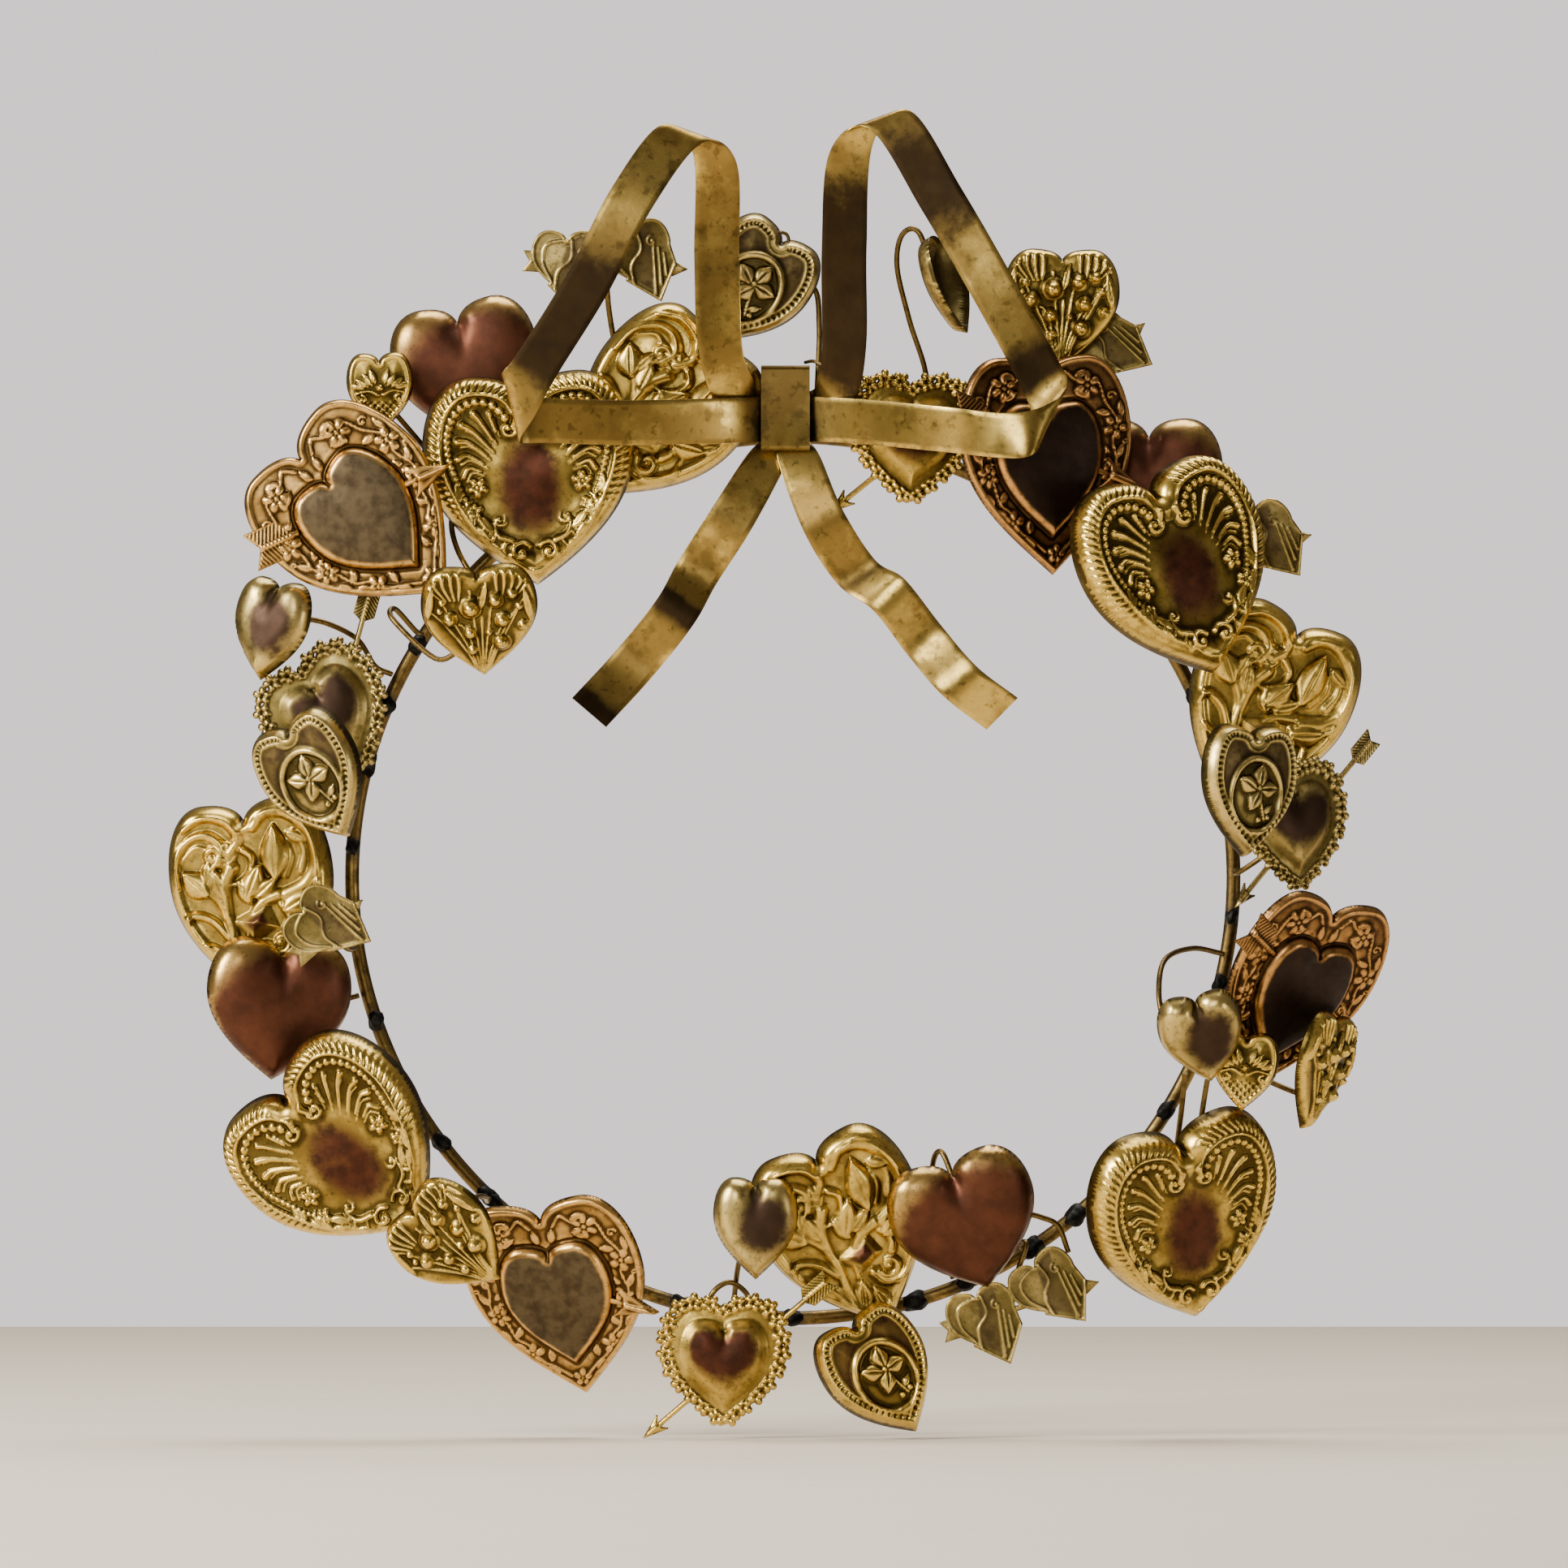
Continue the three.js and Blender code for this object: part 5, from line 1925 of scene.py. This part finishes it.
@dataclass
class Ring:
    """The ring of brass rod, with darkened stretches at its solder.

    Attributes:
        around: how many steps it takes round.
        sides: how many sides its section has.
        heat: how far from a joint the rod is darkened, in degrees.
    """

    around: int = 256
    sides: int = 20
    heat: float = 2.5

    def build(self, shop: Shop) -> None:
        """Spins the rod's section round the ring and stains it by the joints.

        Args:
            shop: the shop's tools.
        """
        shape = bmesh.new()
        section = Matrix.Translation((RING_RADIUS, 0, 0)) @ Matrix.Rotation(math.pi / 2, 4, "X")
        bmesh.ops.create_circle(shape, segments=self.sides, radius=ROD, matrix=section)
        geometry = shape.verts[:] + shape.edges[:]
        bmesh.ops.spin(
            shape, geom=geometry, cent=(0, 0, 0), axis=(0, 0, 1), angle=2 * math.pi, steps=self.around,
            use_merge=True,
        )
        bmesh.ops.recalc_face_normals(shape, faces=shape.faces)
        mesh = shop.mesh("ring_rod", shape)
        angles = [math.degrees(math.atan2(vert.co.y, vert.co.x)) for vert in mesh.vertices]
        gaps = [min(abs((angle - joint + 180) % 360 - 180) for joint in JOINTS) for angle in angles]
        paint(mesh, "stain", [0.6 * math.exp(-((gap / self.heat) ** 2)) for gap in gaps])
        paint(mesh, "wear", [0.6] * len(gaps))
        shop.piece("ring_rod", mesh, Finish.WIRE, ["ring"])


@dataclass
class Solder:
    """The black lumps of solder on the ring.

    Attributes:
        long: half a lump's length along the ring.
        thick: half its width across the ring.
        front: how far in front of the ring's plane its middle lies.
        uneven: how far its surface wanders, as a share of its size.
    """

    long: float = 4.2
    thick: float = 2.9
    front: float = 0.8
    uneven: float = 0.35

    def build(self, shop: Shop) -> None:
        """Makes one uneven lump at each joint.

        Args:
            shop: the shop's tools.
        """
        shape = bmesh.new()
        for number, joint in enumerate(JOINTS):
            turn = math.radians(joint)
            grow = 0.8 + 0.4 * noise.noise(Vector((number * 1.7, 0.3, 0.5)))
            around = Matrix.Rotation(turn, 4, "Z") @ Matrix.Translation((RING_RADIUS, 0, self.front))
            stretch = Matrix.Diagonal((self.thick * grow, self.long * grow, self.thick * 0.9, 1))
            lump = bmesh.ops.create_icosphere(shape, subdivisions=3, radius=1)["verts"]
            for vert in lump:
                rough = noise.noise(1.3 * vert.co + Vector((number, 0, 0)))
                vert.co *= 1 + self.uneven * rough
            bmesh.ops.transform(shape, matrix=around @ stretch, verts=lump)
        mesh = shop.mesh("solder_joints", shape)
        paint(mesh, "wear", [0.5] * len(mesh.vertices))
        shop.piece("solder_joints", mesh, Finish.SOLDER)


# ---- bow ----


@dataclass
class Ribbon:
    """A flat strip with dark bands along it, partly tarnish and partly painted dark reflection.

    Attributes:
        name: its CAD node.
        stations: middles along it, each with the direction across, which is longer where the strip is
            pulled wide at a fold and shorter where it is pinched.
        dark: where each dark band is and how far it reaches, as shares of the strip, and how deep it is.
        width: its width.
        thick: its thickness.
        rounding: how far its long edges are rounded.
        cuts: how many rows of points lie across its flat.
    """

    name: str
    stations: Sequence[tuple[Point, Point]]
    dark: Sequence[Point] = ()
    width: float = 12.7
    thick: float = 0.5
    rounding: float = 0.16
    cuts: int = 7

    def build(self, shop: Shop) -> None:
        """Bends a long bar with rounded edges onto the stations.

        Args:
            shop: the shop's tools.
        """
        path = smooth_path([middle for middle, _ in self.stations], 12)
        side = smooth_path([across for _, across in self.stations], 12)
        tangent = unit(np.gradient(path, axis=0))
        out = unit(np.cross(tangent, side))
        steps = len(path) - 1
        shape = bmesh.new()
        size = Matrix.Diagonal((self.width, self.thick, steps, 1))
        bmesh.ops.create_cube(shape, size=1, matrix=Matrix.Translation((0, 0, steps / 2)) @ size)
        long_edges = self._edges(shape, 2)
        bmesh.ops.bevel(
            shape, geom=long_edges, offset=self.rounding, segments=2, profile=0.5, affect="EDGES", material=-1
        )
        bmesh.ops.subdivide_edges(shape, edges=self._edges(shape, 2), cuts=steps - 1, use_grid_fill=True)
        bmesh.ops.subdivide_edges(shape, edges=self._wide(shape), cuts=self.cuts, use_grid_fill=True)
        along = [vert.co.z / steps for vert in shape.verts]
        bend(shape, path, side, out)
        mesh = shop.mesh(f"{self.name}_strip", shape)
        mesh.set_sharp_from_angle(angle=math.radians(35))
        # The dark bands, painted into the stain along the strip: partly tarnish, partly painted dark
        # reflection on the bent satin.
        stain = np.zeros(len(along))
        for at, wide, deep in self.dark:
            stain = np.maximum(stain, deep * np.exp(-(((np.array(along) - at) / wide) ** 2)))
        paint(mesh, "stain", stain)
        paint(mesh, "wear", [0.55] * len(along))
        shop.piece(mesh.name, mesh, Finish.RIBBON, [self.name])

    @staticmethod
    def _edges(shape: bmesh.types.BMesh, axis: int) -> list[bmesh.types.BMEdge]:
        """The edges that run along an axis."""
        return [
            edge for edge in shape.edges
            if abs(edge.verts[0].co[axis] - edge.verts[1].co[axis]) > 0.99 * edge.calc_length() > 0
        ]

    def _wide(self, shape: bmesh.types.BMesh) -> list[bmesh.types.BMEdge]:
        """The edges that run across the whole flat of the strip."""
        return [edge for edge in self._edges(shape, 0) if edge.calc_length() > 0.8 * self.width]


# Each strip's stations, from the band outwards and, for a loop, back to it.
LOOP_LEFT = (
    ((-2.6, 130, 4.6), (0, 1, 0)),
    ((-20, 129.2, 18), (0, 1, 0.1)),
    ((-48, 128.4, 29), (0, 1, 0.1)),
    ((-70, 129, 33), (0, 1, 0.1)),
    ((-77, 130.4, 34.5), (-0.2, 1.25, 0)),
    ((-79.2, 132.6, 36.8), (-0.38, 1.42, 0)),
    ((-77, 136.5, 38.8), (-0.7, 1, 0)),
    ((-72, 144.5, 39.6), (-0.87, 0.5, 0)),
    ((-58, 167, 40), (-0.88, 0.48, 0)),
    ((-45, 192, 38), (-0.9, 0.45, 0)),
    ((-31.5, 209.5, 33), (-0.92, 0.4, 0)),
    ((-22, 203, 27), (-0.97, 0.2, 0.1)),
    ((-21.5, 175, 22), (-1, 0, 0.1)),
    ((-20.5, 150, 19), (-0.98, 0, 0.2)),
    ((-16.5, 137.5, 15), (-0.8, -0.6, 0.1)),
    ((-10.2, 131.6, 8.6), (-0.1, -1, 0)),
    ((-2.6, 131.4, 7.4), (0, -1, 0)),
)
LOOP_RIGHT = (
    ((-1.4, 130, 4.6), (0, 1, 0)),
    ((16, 129.2, 17), (0, 1, 0.1)),
    ((42, 126.4, 37), (0, 1, 0.1)),
    ((58, 124.6, 42), (0, 1, 0)),
    ((67, 125.2, 43), (0.15, 1.05, -0.15)),
    ((72.5, 129, 39.5), (0.5, 1.1, -0.2)),
    ((72.6, 135, 36.5), (0.75, 0.85, 0)),
    ((69, 143, 36), (0.87, 0.5, 0)),
    ((57, 165, 37), (0.88, 0.48, 0)),
    ((42, 191, 36), (0.9, 0.45, 0)),
    ((27.5, 213.5, 33), (0.92, 0.4, 0)),
    ((16.5, 206, 27), (0.97, 0.2, 0.1)),
    ((14.5, 178, 22), (1, 0, 0.1)),
    ((14.5, 150, 19), (0.98, 0, 0.2)),
    ((12, 137.5, 15), (0.8, -0.6, 0.1)),
    ((6, 131.6, 8.6), (0.1, -1, 0)),
    ((-1.4, 131.4, 7.4), (0, -1, 0)),
)
TAIL_LEFT = (
    ((-4.6, 124, 4), (-0.62, 0, 0)),
    ((-7.2, 119, 7), (-0.92, 0.1, 0)),
    ((-16.6, 102.7, 12), (-0.86, 0.5, 0)),
    ((-26.9, 86.6, 10), (-0.86, 0.5, 0)),
    ((-33.4, 75, 14), (-0.82, 0.56, 0)),
    ((-45.3, 60.1, 12), (-0.78, 0.62, 0)),
    ((-57.6, 46.7, 16), (-0.76, 0.65, 0)),
)
TAIL_RIGHT = (
    ((0.3, 124, 6), (0.62, 0, 0)),
    ((1.8, 118.5, 9.5), (0.94, 0.1, 0)),
    ((8.6, 101, 13), (0.86, 0.5, 0)),
    ((18, 86.5, 10), (0.84, 0.54, 0)),
    ((27.2, 80, 14), (0.7, 0.7, 0)),
    ((37.4, 67, 12), (0.74, 0.67, 0)),
    ((47.2, 55.6, 15), (0.76, 0.65, 0)),
    ((59.2, 46.4, 12), (0.7, 0.71, 0)),
)


@dataclass
class Bow:
    """The bow of brass ribbon and the band that clamps it to the ring.

    Attributes:
        middle: the band's middle.
        size: the band's length along the ring, its height and its depth.
        wall: thickness of the band.
        corner: how far the band's corners are rounded.
    """

    middle: Point = (-2.1, 132.95, 3.45)
    size: Point = (13.8, 24.1, 16.1)
    wall: float = 0.6
    corner: float = 1.4

    def build(self, shop: Shop) -> None:
        """Bends the four strips and wraps the band.

        Args:
            shop: the shop's tools.
        """
        # Each strip's dark bands, partly tarnish and partly painted dark reflection.
        strips = (
            (
                "bow_loop_left", LOOP_LEFT,
                ((0.02, 0.03, 0.7), (0.47, 0.06, 1.3), (0.58, 0.03, 0.5), (0.75, 0.03, 0.5)),
            ),
            (
                "bow_loop_right", LOOP_RIGHT,
                ((0.02, 0.03, 0.7), (0.44, 0.03, 0.9), (0.58, 0.05, 0.9), (0.79, 0.1, 1.1)),
            ),
            (
                "bow_tail_left", TAIL_LEFT,
                ((0.08, 0.08, 0.8), (0.34, 0.04, 0.5), (0.65, 0.05, 1.2), (1.0, 0.08, 0.9)),
            ),
            ("bow_tail_right", TAIL_RIGHT, ((0.08, 0.06, 0.7), (0.46, 0.04, 0.6), (0.8, 0.03, 0.4))),
        )
        for name, stations, dark in strips:
            Ribbon(name, stations, dark).build(shop)
        self._band(shop)

    def _band(self, shop: Shop) -> None:
        """A flat sleeve: a box without ends, its long edges rounded, then given its wall.

        Args:
            shop: the shop's tools.
        """
        shape = bmesh.new()
        size = Matrix.Diagonal((*self.size, 1))
        bmesh.ops.create_cube(shape, size=1, matrix=Matrix.Translation(self.middle) @ size)
        ends = [face for face in shape.faces if abs(face.normal.x) > 0.9]
        bmesh.ops.delete(shape, geom=ends, context="FACES")
        corners = [edge for edge in shape.edges if not edge.is_boundary]
        bmesh.ops.bevel(
            shape, geom=corners, offset=self.corner, segments=4, profile=0.5, affect="EDGES", material=-1
        )
        bmesh.ops.recalc_face_normals(shape, faces=shape.faces)
        bmesh.ops.solidify(shape, geom=shape.faces[:], thickness=self.wall)
        bmesh.ops.recalc_face_normals(shape, faces=shape.faces)
        mesh = shop.mesh("bow_band_sleeve", shape)
        mesh.set_sharp_from_angle(angle=math.radians(35))
        paint(mesh, "wear", [0.45] * len(mesh.vertices))
        paint(mesh, "stain", [0.45] * len(mesh.vertices))
        shop.piece("bow_band_sleeve", mesh, Finish.RIBBON, ["bow_band"])


# ---- studio ----


@dataclass
class Studio:
    """The table top, the lights, the world and the camera.

    Attributes:
        distance: from the camera to the ring's plane, in metres.
        aim: where the camera looks, from the ring's middle, in millimetres right and up.
        width: how much of the ring's plane it sees, in millimetres.
        behind: how far the table runs behind the ring's plane, in millimetres.
        front: how far the table runs towards the camera, in metres.
        table: the table's width and thickness, in metres.
        lights: each light's name, place from the ring's middle in metres, side in metres and watts.
    """

    distance: float = 5.0
    aim: Point = (-2.5, 26.5)
    width: float = 444.75
    behind: float = 1017.0
    front: float = 1.3
    table: Point = (2.4, 0.02)
    lights: tuple[tuple[str, Point, float, float], ...] = (
        ("key", (-1.3, -0.9, 0.7), 0.7, 46.0),
        ("front", (-0.35, -1.8, 0.5), 0.6, 8.0),
        ("fill", (1.2, -0.8, -0.1), 0.4, 3.0),
        ("top", (0.1, 0.3, 1.3), 1.0, 20.0),
    )

    def build(self, shop: Shop, floor: float) -> None:
        """Sets up everything round the wreath.

        Args:
            shop: the shop's tools.
            floor: height of the table's top in metres.
        """
        self._table(floor)
        self._world()
        middle = shop.bench.translation
        for name, at, side, power in self.lights:
            self._light(name, middle + Vector(at), middle, side, power)
        camera = bpy.data.cameras.new("camera")
        camera.sensor_width = 36
        camera.lens = 36 * self.distance / (self.width * MM)
        made = bpy.data.objects.new("camera", camera)
        made.location = middle + Vector((self.aim[0] * MM, -self.distance, self.aim[1] * MM))
        made.rotation_euler = (math.pi / 2, 0, 0)
        bpy.context.scene.collection.objects.link(made)
        bpy.context.scene.camera = made

    def _table(self, floor: float) -> None:
        """A pale painted table top with a rounded edge.

        Args:
            floor: height of its top in metres.
        """
        across, thick = self.table
        shape = bmesh.new()
        place = Matrix.Translation((0, (self.behind * MM - self.front) / 2, floor - thick / 2))
        size = Matrix.Diagonal((across, self.front + self.behind * MM, thick, 1))
        bmesh.ops.create_cube(shape, size=1, matrix=place @ size)
        bmesh.ops.bevel(
            shape, geom=shape.edges[:], offset=0.003, segments=3, profile=0.5, affect="EDGES", material=-1
        )
        mesh = bpy.data.meshes.new("table_top")
        shape.to_mesh(mesh)
        shape.free()
        mesh.materials.append(self._paint())
        table = bpy.data.objects.new("table_top", mesh)
        bpy.context.scene.collection.objects.link(table)
        table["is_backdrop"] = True

    @staticmethod
    def _paint() -> bpy.types.Material:
        """Matt cream paint, brushed on: its colour varies slightly along the strokes.

        Returns:
            The material.
        """
        made = bpy.data.materials.new("cream_paint_brushed")
        made.use_nodes = True
        tree = made.node_tree
        tree.nodes.clear()
        place = node(tree, "ShaderNodeTexCoord", {}).outputs["Object"]
        stretched = node(tree, "ShaderNodeMapping", {"Vector": place, "Scale": (2.0, 14.0, 14.0)})
        inputs = {"Vector": stretched.outputs[0], "Scale": 6.0, "Detail": 4.0}
        streak = node(tree, "ShaderNodeTexNoise", inputs)
        tint = node(
            tree,
            "ShaderNodeMix",
            {0: streak.outputs["Fac"], 6: linear("#efdfc4"), 7: linear("#f6e9d2")},
            data_type="RGBA",
        )
        shader = node(
            tree, "ShaderNodeBsdfPrincipled", {"Base Color": tint.outputs[2], "Roughness": 0.6}
        )
        node(tree, "ShaderNodeOutputMaterial", {"Surface": shader.outputs["BSDF"]})
        return made

    @staticmethod
    def _world() -> None:
        """A studio that lights the brass warm grey, lighter above, and stands as a pale wall behind it."""
        world = bpy.data.worlds.new("studio")
        world.use_nodes = True
        tree = world.node_tree
        tree.nodes.clear()
        sky = node(tree, "ShaderNodeTexCoord", {}).outputs["Generated"]
        up = node(tree, "ShaderNodeSeparateXYZ", {"Vector": sky}).outputs["Z"]
        rise = node(tree, "ShaderNodeMapRange", {"Value": up, "From Min": -0.6, "From Max": 0.9}).outputs[0]
        glow = node(
            tree, "ShaderNodeMix", {0: rise, 6: linear("#2a2521"), 7: linear("#867f7a")}, data_type="RGBA"
        ).outputs[2]
        seen = node(tree, "ShaderNodeLightPath", {}).outputs["Is Camera Ray"]
        both = node(tree, "ShaderNodeMix", {0: seen, 6: glow, 7: linear("#e8dfe0")}, data_type="RGBA")
        lift = node(tree, "ShaderNodeMath", {0: seen, 1: 0.45, 2: 1.0}, operation="MULTIPLY_ADD").outputs[0]
        shader = node(tree, "ShaderNodeBackground", {"Color": both.outputs[2], "Strength": lift})
        node(tree, "ShaderNodeOutputWorld", {"Surface": shader.outputs[0]})
        bpy.context.scene.world = world

    @staticmethod
    def _light(name: str, at: Vector, target: Vector, size: float, power: float) -> None:
        """Adds a soft square light.

        Args:
            name: its name.
            at: where it stands, in metres.
            target: where it points.
            size: its side in metres.
            power: its power in watts.
        """
        data = bpy.data.lights.new(name, "AREA")
        data.size = size
        data.energy = power
        made = bpy.data.objects.new(name, data)
        made.location = at
        made.rotation_euler = (target - at).to_track_quat("-Z", "Y").to_euler()
        bpy.context.scene.collection.objects.link(made)


# ---- main ----


def main() -> None:
    """Builds the wreath, its table, its lights and its camera."""
    logging.basicConfig(level=logging.INFO, format="%(message)s")
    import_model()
    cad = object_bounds()
    shop = Shop()
    Ring().build(shop)
    for charm in CHARMS:
        charm.build(shop)
    for name, points in STEMS.items():
        way = [Vector(point) for point in points]
        Wire([*way, ring_end(way[-1])]).build(shop, f"{name}_wire", [name])
    for name, (points, radius) in ENDS.items():
        Wire([Vector(point) for point in points], radius).build(shop, name)
    Bow().build(shop)
    Solder().build(shop)
    Studio().build(shop, cad[0][2])


if __name__ == "__main__":
    main()
